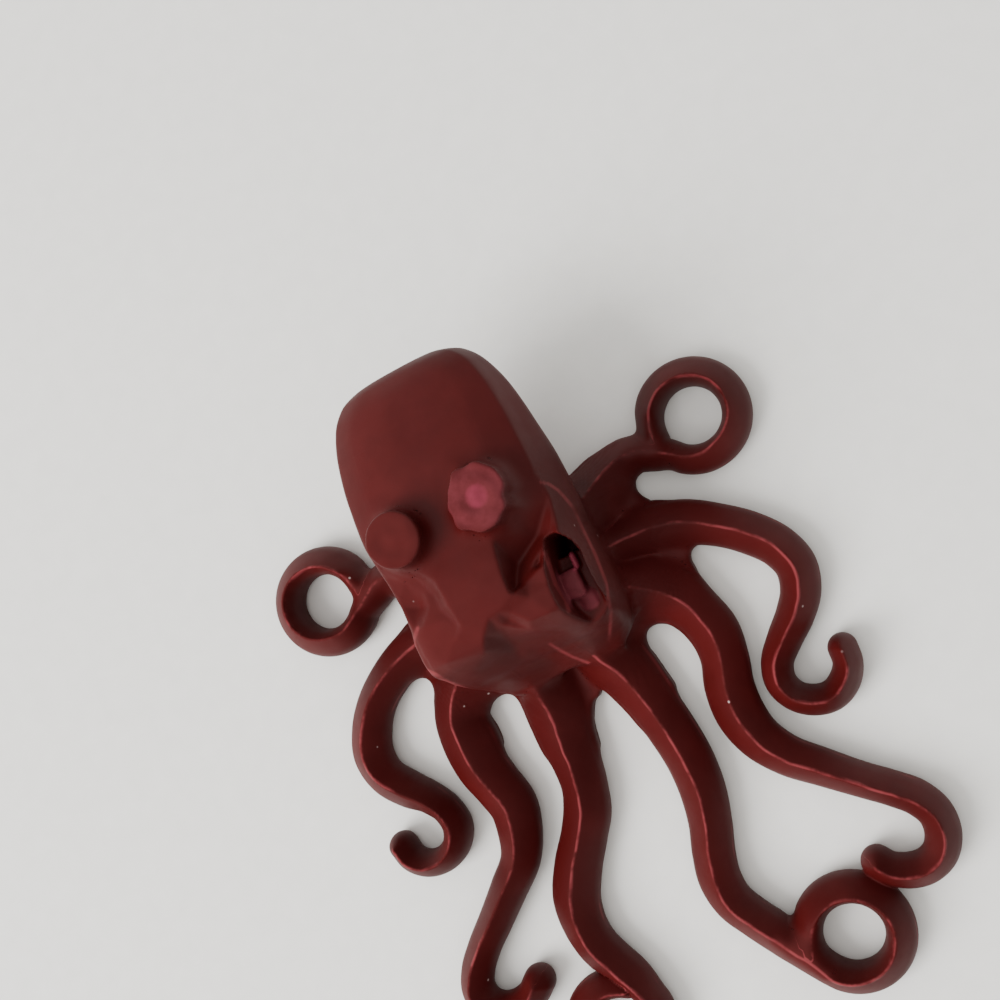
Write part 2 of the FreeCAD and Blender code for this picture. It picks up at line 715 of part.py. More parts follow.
rings = {name: keep(loop_ring(name), name) for name in LOOP_SHARES}
front_right = looped_arm("front_right", FRONT_RIGHT_SHARES)
front_left = looped_arm("front_left", FRONT_LEFT_SHARES)
mid_right, mid_right_hook = hooked_arm("mid_right", MID_RIGHT_SHARES, MID_RIGHT_HOOK_SHARES)
mid_left, mid_left_hook = hooked_arm("mid_left", MID_LEFT_SHARES, MID_LEFT_HOOK_SHARES)
side_right, side_right_hook = hooked_arm("side_right", SIDE_RIGHT_SHARES, SIDE_RIGHT_HOOK_SHARES)
side_left, side_left_hook = hooked_arm("side_left", SIDE_LEFT_SHARES, SIDE_LEFT_HOOK_SHARES)
rear_right = looped_arm("rear_right", REAR_RIGHT_SHARES)
rear_left = looped_arm("rear_left", REAR_LEFT_SHARES)


def seat_arms(side, arms):
    """Cut each arm to the base and to the arm before it."""
    tools = [base.Shape]
    for name, route in arms:
        shape = route.Shape
        for tool in tools:
            shape = shape.cut(tool)
        keep(plain("arm_%s_%s_seated" % (name, side), shape), "arm_%s_%s" % (name, side))
        tools = [base.Shape, shape]


seat_arms("right", (
    ("front", front_right), ("mid", mid_right), ("side", side_right), ("rear", rear_right),
))
seat_arms("left", (
    ("front", front_left), ("mid", mid_left), ("side", side_left), ("rear", rear_left),
))

hook = cut("hook_mid_right_seated", mid_right_hook, rings["loop_front_right"])
keep(hook, "hook_mid_right")
keep(mid_left_hook, "hook_mid_left")
keep(side_right_hook, "hook_side_right")
keep(side_left_hook, "hook_side_left")

doc.recompute()
for item in doc.Objects:
    if "Invalid" in item.State or "Error" in item.State:
        raise RuntimeError("%s is %s" % (item.Name, item.State))
for piece in nodes:
    shape = piece.Shape
    if shape.isNull() or not shape.isValid() or len(shape.Solids) != 1:
        raise RuntimeError(piece.Label + " is not one valid solid")
    shape.exportStep("parts/%s.step" % piece.Label)
print(len(nodes), "nodes")
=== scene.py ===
import math

import bpy
import numpy as np
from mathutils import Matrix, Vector
from mathutils.geometry import delaunay_2d_cdt


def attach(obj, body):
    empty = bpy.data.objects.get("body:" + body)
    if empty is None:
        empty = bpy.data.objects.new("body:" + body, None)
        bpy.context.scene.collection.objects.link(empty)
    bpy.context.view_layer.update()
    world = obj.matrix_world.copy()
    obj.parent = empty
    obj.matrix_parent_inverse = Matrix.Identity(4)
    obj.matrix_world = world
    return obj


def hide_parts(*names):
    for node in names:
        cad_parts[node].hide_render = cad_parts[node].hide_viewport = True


# A small maroon toy octopus, seen from above its front right side. Its skin is worked
# out as one smooth solid on a grid and then cut into one closed piece for each CAD
# node. Sizes are in millimetres, in the frame's own axes, until a mesh is made. Floor,
# light and camera are in metres.

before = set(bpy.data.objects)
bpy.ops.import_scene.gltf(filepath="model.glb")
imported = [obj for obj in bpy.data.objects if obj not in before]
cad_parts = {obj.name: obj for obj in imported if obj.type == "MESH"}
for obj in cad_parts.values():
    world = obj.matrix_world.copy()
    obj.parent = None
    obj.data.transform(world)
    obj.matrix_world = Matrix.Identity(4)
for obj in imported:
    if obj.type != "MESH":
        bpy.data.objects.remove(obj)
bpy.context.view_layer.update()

MM = 0.001
# Spacing of the grid, the field's value away from everything, and spacing along a curve
VOXEL = 0.11
FAR = 4.0
STEP = 0.1
# Differences that count as nothing
TINY = 1e-9

# Driving sizes, as in the solids

REACH = 20.0
ARM_HALF_WIDTH = 1.45
RIDGE_HEIGHT = 3.0
EDGE_HEIGHT = 1.35
FOOT_SHARE = 0.48
BORE_RADIUS = 1.6
LOOP_RADIUS = 3.5
HEAD_BACK = 12.85
FACE_FRONT = 6.1
BROW_LINE = 1.9
SOCKET_RADIUS = 2.45

# Arms. Each row is a place across and along as shares of REACH, and a half width as a
# share of ARM_HALF_WIDTH. Hooks go on from their arms.

ARMS = {
    "rear_right": [
        (0.22, 0.05, 1.5), (0.265, 0.11, 1.38), (0.325, 0.152, 1.17), (0.385, 0.178, 0.93),
        (0.44, 0.18, 0.85), (0.49, 0.155, 0.76),
    ],
    "side_right": [
        (0.23, -0.045, 1.24), (0.315, -0.04, 1.14), (0.4, -0.042, 1.03), (0.48, -0.065, 0.97),
        (0.565, -0.115, 0.9), (0.64, -0.18, 0.9), (0.69, -0.245, 0.88), (0.71, -0.31, 0.86),
        (0.69, -0.385, 0.83), (0.645, -0.44, 0.79), (0.59, -0.488, 0.73),
    ],
    "mid_right": [
        (0.22, -0.135, 1.5), (0.295, -0.18, 1.45), (0.36, -0.238, 1.25), (0.398, -0.31, 1.05),
        (0.418, -0.385, 1.03), (0.41, -0.465, 1.0), (0.385, -0.55, 1.03), (0.38, -0.63, 1.03),
        (0.398, -0.71, 0.95), (0.445, -0.785, 0.86), (0.525, -0.86, 0.79), (0.615, -0.94, 0.73),
        (0.675, -0.99, 0.73),
    ],
    "front_right": [
        (0.095, -0.245, 1.31), (0.11, -0.32, 1.28), (0.138, -0.4, 1.2), (0.16, -0.49, 1.07),
        (0.178, -0.59, 1.03), (0.188, -0.69, 1.0), (0.183, -0.78, 0.97), (0.16, -0.88, 0.91),
        (0.13, -0.965, 0.9), (0.115, -1.035, 0.9), (0.123, -1.105, 0.86), (0.158, -1.17, 0.83),
        (0.208, -1.245, 0.83), (0.255, -1.32, 0.76),
    ],
    "front_left": [
        (-0.095, -0.245, 1.31), (-0.105, -0.33, 1.34), (-0.113, -0.41, 1.3),
        (-0.122, -0.49, 1.17), (-0.125, -0.56, 1.07), (-0.135, -0.635, 1.0),
        (-0.16, -0.705, 1.03), (-0.2, -0.765, 1.0), (-0.26, -0.845, 1.03),
        (-0.305, -0.93, 1.03), (-0.315, -1.01, 0.95), (-0.305, -1.075, 0.9),
        (-0.278, -1.135, 0.86), (-0.248, -1.195, 0.83),
    ],
    "mid_left": [
        (-0.22, -0.135, 1.45), (-0.295, -0.18, 1.4), (-0.36, -0.235, 1.22), (-0.4, -0.3, 1.14),
        (-0.405, -0.375, 1.21), (-0.4, -0.455, 1.17), (-0.38, -0.53, 1.1),
        (-0.363, -0.605, 1.07), (-0.375, -0.67, 1.0), (-0.41, -0.75, 0.88),
        (-0.485, -0.82, 0.82), (-0.565, -0.89, 0.76), (-0.64, -0.955, 0.73),
    ],
    "side_left": [
        (-0.23, -0.045, 1.24), (-0.315, -0.04, 1.14), (-0.4, -0.042, 1.03),
        (-0.475, -0.06, 0.97), (-0.555, -0.095, 0.9), (-0.63, -0.15, 0.88),
        (-0.68, -0.215, 0.9), (-0.708, -0.29, 0.91), (-0.698, -0.36, 0.86),
        (-0.65, -0.425, 0.83), (-0.595, -0.48, 0.71),
    ],
}
# The rear arms mirror each other
ARMS["rear_left"] = [(-across, along, share) for across, along, share in ARMS["rear_right"]]
HOOKS = {
    "side_right": [
        (0.538, -0.545, 0.67), (0.525, -0.595, 0.66), (0.543, -0.645, 0.64),
        (0.585, -0.678, 0.65), (0.64, -0.688, 0.65), (0.69, -0.663, 0.65), (0.72, -0.62, 0.62),
        (0.725, -0.578, 0.62),
    ],
    "mid_right": [
        (0.725, -1.04, 0.74), (0.75, -1.095, 0.73), (0.743, -1.155, 0.73), (0.71, -1.2, 0.72),
        (0.66, -1.218, 0.72), (0.61, -1.21, 0.71), (0.568, -1.185, 0.67), (0.545, -1.155, 0.66),
    ],
    "mid_left": [
        (-0.685, -1.005, 0.73), (-0.708, -1.055, 0.73), (-0.7, -1.105, 0.73),
        (-0.66, -1.14, 0.72), (-0.61, -1.148, 0.71), (-0.56, -1.135, 0.69),
        (-0.518, -1.103, 0.7),
    ],
    "side_left": [
        (-0.56, -0.535, 0.66), (-0.553, -0.59, 0.66), (-0.58, -0.638, 0.62),
        (-0.63, -0.663, 0.6), (-0.685, -0.658, 0.6), (-0.725, -0.625, 0.6),
        (-0.74, -0.575, 0.62),
    ],
}

# Loops: centre as shares of REACH, the angle where the arm runs in, and the way round:
# 1 is anticlockwise from above, -1 clockwise.
LOOPS = {
    "rear_right": (0.638, 0.205, 220.0, 1),
    "rear_left": (-0.638, 0.205, 320.0, -1),
    "front_right": (0.4, -1.31, 215.0, 1),
    "front_left": (-0.34, -1.315, 20.0, -1),
}
# How far round a loop goes in degrees, the step between its rows, the stretches over
# which its crest moves outwards and back again, how far it moves, and how narrow it ends
LOOP_SWEEP = 328.0
LOOP_PITCH = 12.0
LOOP_GROWING = 60.0
LOOP_ENDING = 50.0
LOOP_CREST_SHARE = 0.34
LOOP_END_SHARE = 0.9
# How much higher an arm's crest is at its root, and how far along that goes
ROOT_RISE = 1.6
ROOT_RUN = 4.5

# Head and face: sections square to +Y, as in the solids but with the face's edges cut
# crisper. Each row is a place along, then places across and up of the right half's
# corners, from the foot to the crest.

HEAD_ROWS = [
    # face
    (-6.1, (3.63, 2.9), (3.5, 3.35), (3.3, 3.5), (2.6, 3.7), (1.9, 3.85),
     (1.0, 3.85), (0.0, 3.75)),
    (-5.4, (4.4, 2.9), (4.4, 4.2), (4.2, 4.8), (3.25, 5.6), (2.35, 5.95),
     (1.17, 5.55), (0.0, 5.05)),
    (-4.7, (4.85, 2.9), (4.97, 5.5), (4.84, 6.6), (3.8, 8.1), (2.7, 8.6),
     (1.25, 7.9), (0.0, 7.05)),
    (-4.03, (5.05, 2.9), (5.32, 6.6), (5.2, 8.0), (4.4, 10.3), (3.2, 11.15),
     (1.6, 10.8), (0.0, 9.6)),
    (-3.3, (5.2, 2.9), (5.44, 7.2), (5.36, 8.65), (4.85, 11.3), (3.3, 12.4),
     (1.5, 12.6), (0.0, 12.5)),
    (-2.38, (5.25, 2.9), (5.47, 7.5), (5.4, 8.95), (4.95, 11.5), (3.2, 12.6),
     (1.3, 12.9), (0.0, 13.0)),
    (-1.53, (5.25, 2.9), (5.47, 7.6), (5.4, 9.05), (4.95, 11.5), (3.0, 12.7),
     (1.4, 13.0), (0.0, 13.05)),
    (-0.6, (5.25, 2.9), (5.44, 7.85), (5.38, 9.2), (4.85, 11.4), (3.0, 12.7),
     (1.3, 13.05), (0.0, 13.1)),
    (0.8, (5.2, 2.9), (5.4, 8.25), (5.32, 9.6), (4.8, 11.4), (3.0, 12.6),
     (1.4, 13.05), (0.0, 13.1)),
    # brow
    (BROW_LINE, (4.95, 2.9), (5.67, 8.65), (5.35, 10.1), (4.85, 11.45), (3.05, 12.4),
     (1.6, 12.98), (0.0, 13.05)),
    # mantle
    (3.2, (4.7, 2.9), (5.85, 9.04), (5.45, 10.42), (4.95, 11.7), (3.1, 12.6),
     (1.46, 13.02), (0.0, 13.1)),
    (4.6, (4.33, 2.9), (5.94, 9.3), (5.56, 10.61), (5.1, 11.8), (3.45, 12.68),
     (1.64, 13.03), (0.0, 13.1)),
    (7.0, (3.51, 3.93), (5.76, 9.3), (5.42, 10.48), (5.02, 11.6), (3.45, 12.51),
     (1.64, 12.9), (0.0, 13.0)),
    (9.2, (2.93, 4.98), (5.44, 9.24), (5.15, 10.28), (4.75, 11.22), (3.35, 11.99),
     (1.58, 12.38), (0.0, 12.45)),
    (11.1, (2.52, 6.03), (4.8, 9.24), (4.58, 10.02), (4.22, 10.74), (2.98, 11.33),
     (1.46, 11.59), (0.0, 11.66)),
    (12.2, (2.11, 7.07), (3.95, 9.17), (3.8, 9.76), (3.45, 10.28), (2.4, 10.68),
     (1.17, 10.85), (0.0, 10.87)),
    (12.85, (1.52, 7.86), (2.69, 9.1), (2.6, 9.43), (2.28, 9.76), (1.58, 9.98),
     (0.76, 10.09), (0.0, 10.11)),
]

# Top of the face as facets: lines of places across, along and up that stay sharp, and
# single corners
FACE_LINES = [
    # behind the brow, and along the nose
    [(-4.0, 4.9, 13.2), (-2.0, 5.2, 13.4), (0.0, 5.2, 13.4), (2.0, 5.2, 13.4), (4.0, 4.9, 13.2)],
    [(0.0, 1.7, 13.12)], [(0.0, 0.0, 13.12)], [(0.0, -1.2, 13.05)],
    # right hollow: edge along the nose, floor, ramp, and the dip behind the cheek
    [(4.0, 4.9, 13.2), (3.2, 3.3, 12.9), (1.8, 1.75, 13.05), (1.5, 0.05, 13.05),
     (1.5, -1.33, 12.95)],
    [(5.3, 3.9, 11.6), (4.85, 2.3, 11.05), (3.55, 0.92, 10.95), (2.05, -0.02, 11.3),
     (1.58, -1.12, 12.0), (1.5, -1.33, 12.95)],
    [(5.8, 3.2, 11.1), (5.3, 1.6, 11.15), (4.5, 0.7, 11.25), (3.78, 0.25, 11.55),
     (2.65, -0.6, 11.88), (2.28, -1.12, 12.25)],
    [(3.15, -0.45, 11.35)],
    # right cheek: back edge, front edge, foot of the bevel
    [(2.28, -1.12, 12.25), (3.43, -0.72, 12.25), (4.3, -0.6, 11.95)],
    [(-0.1, -1.9, 12.95), (0.39, -1.84, 12.95), (0.96, -2.15, 12.6),
     (1.63, -2.98, 12.42), (2.79, -3.01, 12.38), (3.8, -2.9, 12.15), (4.7, -3.0, 11.8)],
    [(0.12, -2.55, 12.2), (0.57, -2.45, 12.0), (1.32, -3.43, 11.7), (2.51, -3.45, 11.65),
     (3.8, -3.43, 11.5), (4.7, -3.45, 11.3)],
    [(2.2, -1.9, 12.52)], [(3.9, -1.73, 12.2)], [(4.7, -1.9, 11.9)],
    # valley, from the nose down to the front
    [(-0.1, -1.9, 12.95), (0.12, -2.55, 12.2)],
    [(-0.1, -1.9, 12.95), (-0.89, -2.65, 12.62), (-1.4, -3.45, 12.05), (-1.85, -4.15, 9.55)],
    [(-0.32, -2.75, 11.7), (-0.45, -3.3, 10.3), (-0.7, -4.05, 8.7), (-0.8, -4.8, 7.5)],
    # front slopes
    [(1.1, -4.1, 9.4), (2.7, -4.15, 10.3), (4.2, -4.1, 10.1)],
    [(1.2, -4.85, 8.2), (2.6, -4.85, 9.0), (4.4, -4.8, 8.8)],
    [(-1.85, -4.15, 9.55), (-3.0, -4.15, 10.3), (-4.2, -4.1, 10.0)],
    [(-1.8, -4.85, 8.4), (-3.0, -4.85, 9.0), (-4.4, -4.8, 8.8)],
    # left hollow
    [(-4.0, 4.9, 13.2), (-3.2, 3.1, 12.9), (-1.94, 1.11, 13.05), (-1.84, -0.27, 13.02),
     (-1.73, -1.71, 12.88)],
    [(-5.0, 3.2, 11.6), (-3.2, 1.8, 11.75), (-2.65, 0.5, 11.9), (-2.6, -0.4, 12.15),
     (-1.95, -1.5, 12.62)],
    [(-5.3, 2.6, 11.1), (-3.98, 1.9, 11.55), (-3.15, 0.9, 11.75), (-3.2, 0.0, 11.9),
     (-2.8, -0.6, 12.18)],
    [(-3.9, 0.3, 11.15)], [(-5.1, 0.9, 11.2)],
    # left cheek
    [(-2.6, -0.95, 12.35), (-3.94, -0.78, 12.0), (-4.8, -1.0, 11.8)],
    [(-1.15, -2.98, 12.42), (-3.47, -3.02, 12.32), (-4.65, -3.0, 11.8)],
    [(-1.4, -3.45, 11.95), (-3.62, -3.5, 11.65), (-4.65, -3.5, 11.3)],
    [(-2.6, -2.2, 12.48)], [(-4.8, -2.3, 11.9)],
]
# Corners closer than FACE_MERGE are one. Where two lines cross, and beyond the facets,
# the ceiling has a height of its own, and each pass eases the facets' edges.
FACE_MERGE = 1e-5
FACE_CROSSING_HEIGHT = 12.0
FACE_OPEN_HEIGHT = 16.0
FACE_EASE_PASSES = 2
FACE_BLEND = 0.15
HEAD_BLEND = 0.9
HEAD_WINDOW = ((-7.2, -7.0, 1.5), (7.2, 13.5, 14.6))

# How far along a half section each of its corners lies, as shares of the whole, and how
# far the section rounds each: 1 is a smooth curve, 0 straight facets. The last one is
# the crest's mirrored neighbour.
CORNER_SHARES = np.array([0.0, 0.43, 0.54, 0.68, 0.79, 0.895, 1.0])
CORNER_EASE = np.array([1.0, 1.0, 0.6, 0.35, 0.95, 1.0, 1.0, 1.0])[:, None]
SECTION_POINTS = 61

EYE_ACROSS = 2.5
EYE_ALONG = 3.78
EYE_RADIUS = 1.52
EYE_TOP = 14.68
# Both eyes stand a little to the left of where the mirror plane would put them
EYE_SHIFT = -0.1

# Side windows, in plan from the back end round: the right one gapes, the left one is
# narrow and has a roof. Each is deeper behind SLOT_HOLE_ALONG.
SLOT_RIGHT = [
    (3.95, 0.62), (4.55, 0.68), (4.98, 0.1), (5.12, -1.0), (5.14, -2.4), (5.08, -3.6),
    (4.98, -4.5), (4.72, -5.05), (4.3, -4.85), (3.85, -4.3), (3.45, -3.5), (3.32, -2.05),
    (3.72, -0.1),
]
SLOT_LEFT = [
    (-4.45, 0.35), (-5.35, 0.2), (-5.75, -1.5), (-5.65, -2.9), (-5.1, -3.6), (-4.6, -3.5),
    (-4.42, -3.0), (-4.42, -1.2),
]
SLOT_FLOOR = 9.0
SLOT_HOLE_FLOOR = 6.2
SLOT_HOLE_ALONG = -0.55
SLOT_ROOF = 10.3

# Ribs in the windows, as blocks: lowest and highest corner of each
RIBS = {
    "window_rib_right": [
        ((3.42, -2.9, 6.5), (4.45, -1.3, 9.85)),
        ((3.8, -3.75, 6.5), (4.72, -2.7, 9.25)),
        ((4.38, -1.5, 6.5), (4.7, -0.45, 10.0)),
    ],
    "window_rib_left": [
        ((-4.95, -2.8, 6.5), (-4.6, -1.0, 9.8)),
        ((-4.95, -3.4, 6.5), (-4.6, -2.6, 9.4)),
    ],
}

# Where a loop closes on its arm, and the corners of the skirt between two arms
LOOP_JOINTS = [(9.65, 4.15), (-9.85, 3.75), (5.15, -25.3), (5.3, -26.3), (-4.1, -27.2)]
CROTCHES = [
    (7.2, 1.45), (8.5, -2.4), (5.0, -6.0), (0.0, -6.7), (-5.3, -6.2), (-8.9, -2.9),
    (-7.2, 1.5),
]
# The bores are cut clean at this radius, just inside the loops' own inner wall
BORE_FINISH_RADIUS = 1.58


# Curves

def smooth_rows(rows, step=STEP):
    """Rows of numbers, closely spaced along a smooth curve through the first two."""
    rows = np.array(rows, float)
    gaps = np.hypot(*np.diff(rows[:, :2], axis=0).T)
    reached = np.concatenate([[0.0], np.cumsum(gaps)])
    slopes = np.gradient(rows, reached, axis=0)
    places = np.linspace(0.0, reached[-1], int(reached[-1] / step) + 1)
    return hermite(places, reached, rows, slopes), places


def hermite(places, reached, rows, slopes):
    """Values at some places of the cubic curve that has these rows and slopes."""
    index = np.clip(np.searchsorted(reached, places, side="right") - 1, 0, len(reached) - 2)
    run = (reached[index + 1] - reached[index])[:, None]
    share = ((places - reached[index])[:, None]) / run
    rest = 1 - share
    return (
        rows[index] * rest ** 2 * (1 + 2 * share) + slopes[index] * run * rest ** 2 * share
        + rows[index + 1] * share ** 2 * (1 + 2 * rest)
        - slopes[index + 1] * run * share ** 2 * rest
    )


def calm_slopes(places, rows):
    """Slopes of curves through the rows that never swing past a value."""
    steps = np.diff(rows, axis=0) / np.diff(places)[:, None]
    slopes = np.zeros_like(rows)
    one, other = steps[:-1], steps[1:]
    same = one * other > 0
    total = np.where(same, one + other, 1.0)
    slopes[1:-1] = np.where(same, 2 * one * other / total, 0.0)
    slopes[0], slopes[-1] = steps[0], steps[-1]
    return slopes


def soft_min(one, other, blend):
    """The smaller of two fields, with a fillet as wide as blend where they cross."""
    share = np.clip(0.5 + 0.5 * (other - one) / blend, 0, 1)
    return other + (one - other) * share - blend * share * (1 - share)


def soft_max(one, other, blend):
    return -soft_min(-one, -other, blend)


# The grid

LOW = np.array([-16.9, -30.4, -0.45])
HIGH = np.array([16.9, 13.5, 15.6])
COUNT = np.ceil((HIGH - LOW) / VOXEL).astype(int) + 1
AXES = [LOW[axis] + VOXEL * np.arange(COUNT[axis]) for axis in range(3)]


class Skin:
    """The whole figure as a signed distance on a grid, with each point's owner.

    raw is the same distance without fillets: the solid that sets it owns the place.
    """

    def __init__(self):
        self.field = np.full(COUNT, FAR, np.float32)
        self.raw = np.full(COUNT, FAR, np.float32)
        self.owner = np.zeros(COUNT, np.uint8)
        self.names = []

    def window(self, low, high, margin=0.0):
        """The part of the grid between two corners, with a margin round them."""
        starts = ((np.array(low) - margin - LOW) / VOXEL).astype(int)
        ends = ((np.array(high) + margin - LOW) / VOXEL).astype(int) + 2
        return tuple(map(slice, np.maximum(starts, 0), np.minimum(ends, COUNT)))

    def number(self, name):
        """The number that stands for an owner's name."""
        if name not in self.names:
            self.names.append(name)
        return self.names.index(name)

    def add(self, window, field, owner, blend):
        """Joins a solid, with a fillet as wide as blend. owner is a number or an array."""
        field = field.astype(np.float32)
        nearer = field < self.raw[window]
        self.owner[window] = np.where(nearer, owner, self.owner[window])
        self.raw[window] = np.minimum(self.raw[window], field)
        self.field[window] = soft_min(self.field[window], field, blend)

    def carve(self, window, field, blend):
        """Takes a solid away. What is added later in the pocket owns its own surface."""
        self.raw[window] = np.maximum(self.raw[window], -field)
        self.field[window] = soft_max(self.field[window], -field, blend)


skin = Skin()


def grid(window):
    """The grid's places in a window, as three arrays that spread over each other."""
    across, along, up = [AXES[axis][window[axis]] for axis in range(3)]
    return across[:, None, None], along[None, :, None], up[None, None, :]


# Arms, with their hooks and loops

def mm_rows(rows):
    """Rows of place, half width and crest offset."""
    return [
        (across * REACH, along * REACH, share * ARM_HALF_WIDTH, 0.0)
        for across, along, share in rows
    ]


def arm_route(name):
    """An arm with its end: rows of place, half width, crest offset and crest height.

    Also how far along each row lies, and where the hook or loop starts.
    """
    rows = mm_rows(ARMS[name])
    if name in HOOKS:
        split = len(rows) - 1
        rows += mm_rows(HOOKS[name])
    else:
        across, along, start, way = LOOPS[name]
        middle = (BORE_RADIUS + LOOP_RADIUS) / 2
        half = (LOOP_RADIUS - BORE_RADIUS) / 2
        split = len(rows)
        for turned in np.arange(0.0, LOOP_SWEEP + 1, LOOP_PITCH):
            angle = math.radians(start + way * turned)
            grown = min(turned / LOOP_GROWING, 1.0)
            ending = min((LOOP_SWEEP - turned) / LOOP_ENDING, 1.0)
            rows.append((
                across * REACH + middle * math.cos(angle),
                along * REACH + middle * math.sin(angle),
                half * (LOOP_END_SHARE + (1 - LOOP_END_SHARE) * ending),
                way * half * LOOP_CREST_SHARE * grown * ending,
            ))
    rows = np.array(rows)
    route, places = smooth_rows(rows)
    gaps = np.hypot(*np.diff(rows[:, :2], axis=0).T)
    split_place = gaps[:split].sum()
    rise = np.clip(1 - places / ROOT_RUN, 0, 1)
    crest = RIDGE_HEIGHT + ROOT_RISE * rise ** 2 * (3 - 2 * rise)
    return np.column_stack([route, crest]), places, split_place


# Places that are measured together, which keeps the memory small
BATCH = 4096


def beside(route, across, along):
    """For places in the plane: the nearest row of a route, and the signed way from it."""
    tangent = np.gradient(route[:, :2], axis=0)
    tangent /= np.linalg.norm(tangent, axis=1)[:, None]
    spots = np.stack(np.broadcast_arrays(across, along), -1).reshape(-1, 2)
    nearest = np.empty(len(spots), int)
    line = route[:, :2].astype(np.float32)
    for start in range(0, len(spots), BATCH):
        part = spots[start:start + BATCH].astype(np.float32)
        gap = part[:, None, :] - line[None]
        nearest[start:start + BATCH] = (gap ** 2).sum(-1).argmin(1)
    away = spots - route[nearest, :2]
    forward = (away * tangent[nearest]).sum(1)
    left = tangent[nearest, 0] * away[:, 1] - tangent[nearest, 1] * away[:, 0]
    past = ((nearest == 0) & (forward < 0)) | ((nearest == len(route) - 1) & (forward > 0))
    side = np.where(left < 0, -1.0, 1.0)
    signed = np.where(past, side * np.hypot(forward, left), left)
    shape = np.broadcast(across, along).shape
    return nearest.reshape(shape), signed.reshape(shape)


# An arm's roof falls from its crest as a straight slope and a bowed one together
ROOF_STRAIGHT_SHARE = 0.72
ROOF_BOWED_SHARE = 0.28
ROOF_OUT_LIMIT = 1.2
EDGE_BLEND = 0.35
FOOT_BLEND = 0.12
ARM_BLEND = 0.22


def arm_section(signed, half, offset, crest, up):
    """Signed distance of an arm's section: a soft roof over a foot that draws in."""
    run = np.where(signed > offset, half - offset, half + offset)
    out = np.abs(signed - offset) / run
    fall = crest - EDGE_HEIGHT
    roof = crest - fall * (ROOF_STRAIGHT_SHARE * out + ROOF_BOWED_SHARE * out ** 2)
    held = np.minimum(out, ROOF_OUT_LIMIT)
    slope = fall * (ROOF_STRAIGHT_SHARE + 2 * ROOF_BOWED_SHARE * held) / run
    over = (up - roof) / np.sqrt(1 + slope ** 2)
    share = np.clip(up / EDGE_HEIGHT, 0, 1)
    reach = half * (FOOT_SHARE + (1 - FOOT_SHARE) * np.sqrt(share * (2 - share)))
    side = np.abs(signed) - reach
    return soft_max(soft_max(over, side, EDGE_BLEND), -up, FOOT_BLEND)


# Seen from above: the way from the nearest crest, from the nearest arm's edge and from
# the web's edge
FLAT_FAR = 9.0
flat_shape = (COUNT[0], COUNT[1])
crest_gap = np.full(flat_shape, FLAT_FAR, np.float32)
outline = np.full(flat_shape, FLAT_FAR, np.float32)
web_outline = np.full(flat_shape, FLAT_FAR, np.float32)

ARM_MARGIN = 2.4
ARM_HEADROOM = 0.8
UNDER = -1.0
# The web follows an arm this far from its start
WEB_REACH = 9.0
WEB_BLEND = 2.6


def add_arm(name):
    """An arm with its hook or loop."""
    route, places, split = arm_route(name)
    low = [*(route[:, :2].min(0) - ARM_MARGIN), UNDER]
    high = [*(route[:, :2].max(0) + ARM_MARGIN), RIDGE_HEIGHT + ROOT_RISE + ARM_HEADROOM]
    window = skin.window(low, high)
    across, along, up = grid(window)
    nearest, signed = beside(route, across[:, :, 0], along[:, :, 0])
    half, offset, crest = route[nearest, 2], route[nearest, 3], route[nearest, 4]
    field = arm_section(
        signed[..., None], half[..., None], offset[..., None], crest[..., None], up,
    )
    arm = skin.number("arm_" + name)
    ending = skin.number(("hook_" if name in HOOKS else "loop_") + name)
    owner = np.where(places[nearest] < split, arm, ending)[..., None]
    skin.add(window, field, owner, ARM_BLEND)
    flat = window[:2]
    gap = np.abs(signed) - half
    closer = gap < outline[flat]
    crest_gap[flat] = np.where(closer, signed - offset, crest_gap[flat])
    outline[flat] = np.minimum(outline[flat], gap)
    past = places[nearest] - WEB_REACH
    rooted = np.where(past < 0, gap, np.hypot(gap, past))
    web_outline[flat] = soft_min(web_outline[flat], rooted, WEB_BLEND)


for arm_name in ARMS:
    add_arm(arm_name)


# Base: a plate under the body, and the thin web in the crotches between the arms. A
# WINDOW is the part of the grid that a solid is worked out in.

PLATE_LOW = (-4.7, -5.5, 0.0)
PLATE_HIGH = (4.7, 4.3, 3.0)
PLATE_BLEND = 1.4
PLATE_JOIN = 0.8
PLATE_WINDOW = ((-6.5, -7.2, UNDER), (6.5, 5.8, 4.4))
WEB_ALONG = -2.0
WEB_RADIUS = 9.6
WEB_HEIGHT = 1.25
WEB_RIM_BLEND = 1.0
WEB_TOP_BLEND = 0.3
WEB_JOIN = 0.35
WEB_WINDOW = ((-11.5, -13.0, UNDER), (11.5, 8.0, 2.6))


def box_field(places, low, high, blend):
    """Signed distance of a block between two corners, its edges rounded."""
    field = None
    for place, start, end in zip(places, low, high):
        gap = np.maximum(start - place, place - end)
        field = gap if field is None else soft_max(field, gap, blend)
    return field


def add_base():
    base = skin.number("base")
    window = skin.window(*PLATE_WINDOW)
    field = box_field(grid(window), PLATE_LOW, PLATE_HIGH, PLATE_BLEND)
    skin.add(window, field, base, PLATE_JOIN)
    window = skin.window(*WEB_WINDOW)
    across, along, up = grid(window)
    between = web_outline[window[:2]][..., None]
    near = np.hypot(across, along - WEB_ALONG) - WEB_RADIUS
    web = soft_max(between, near, WEB_RIM_BLEND)
    field = soft_max(web, up - WEB_HEIGHT, WEB_TOP_BLEND)
    field = np.maximum(field, -up)
    skin.add(window, field, base, WEB_JOIN)


add_base()


# Head and face

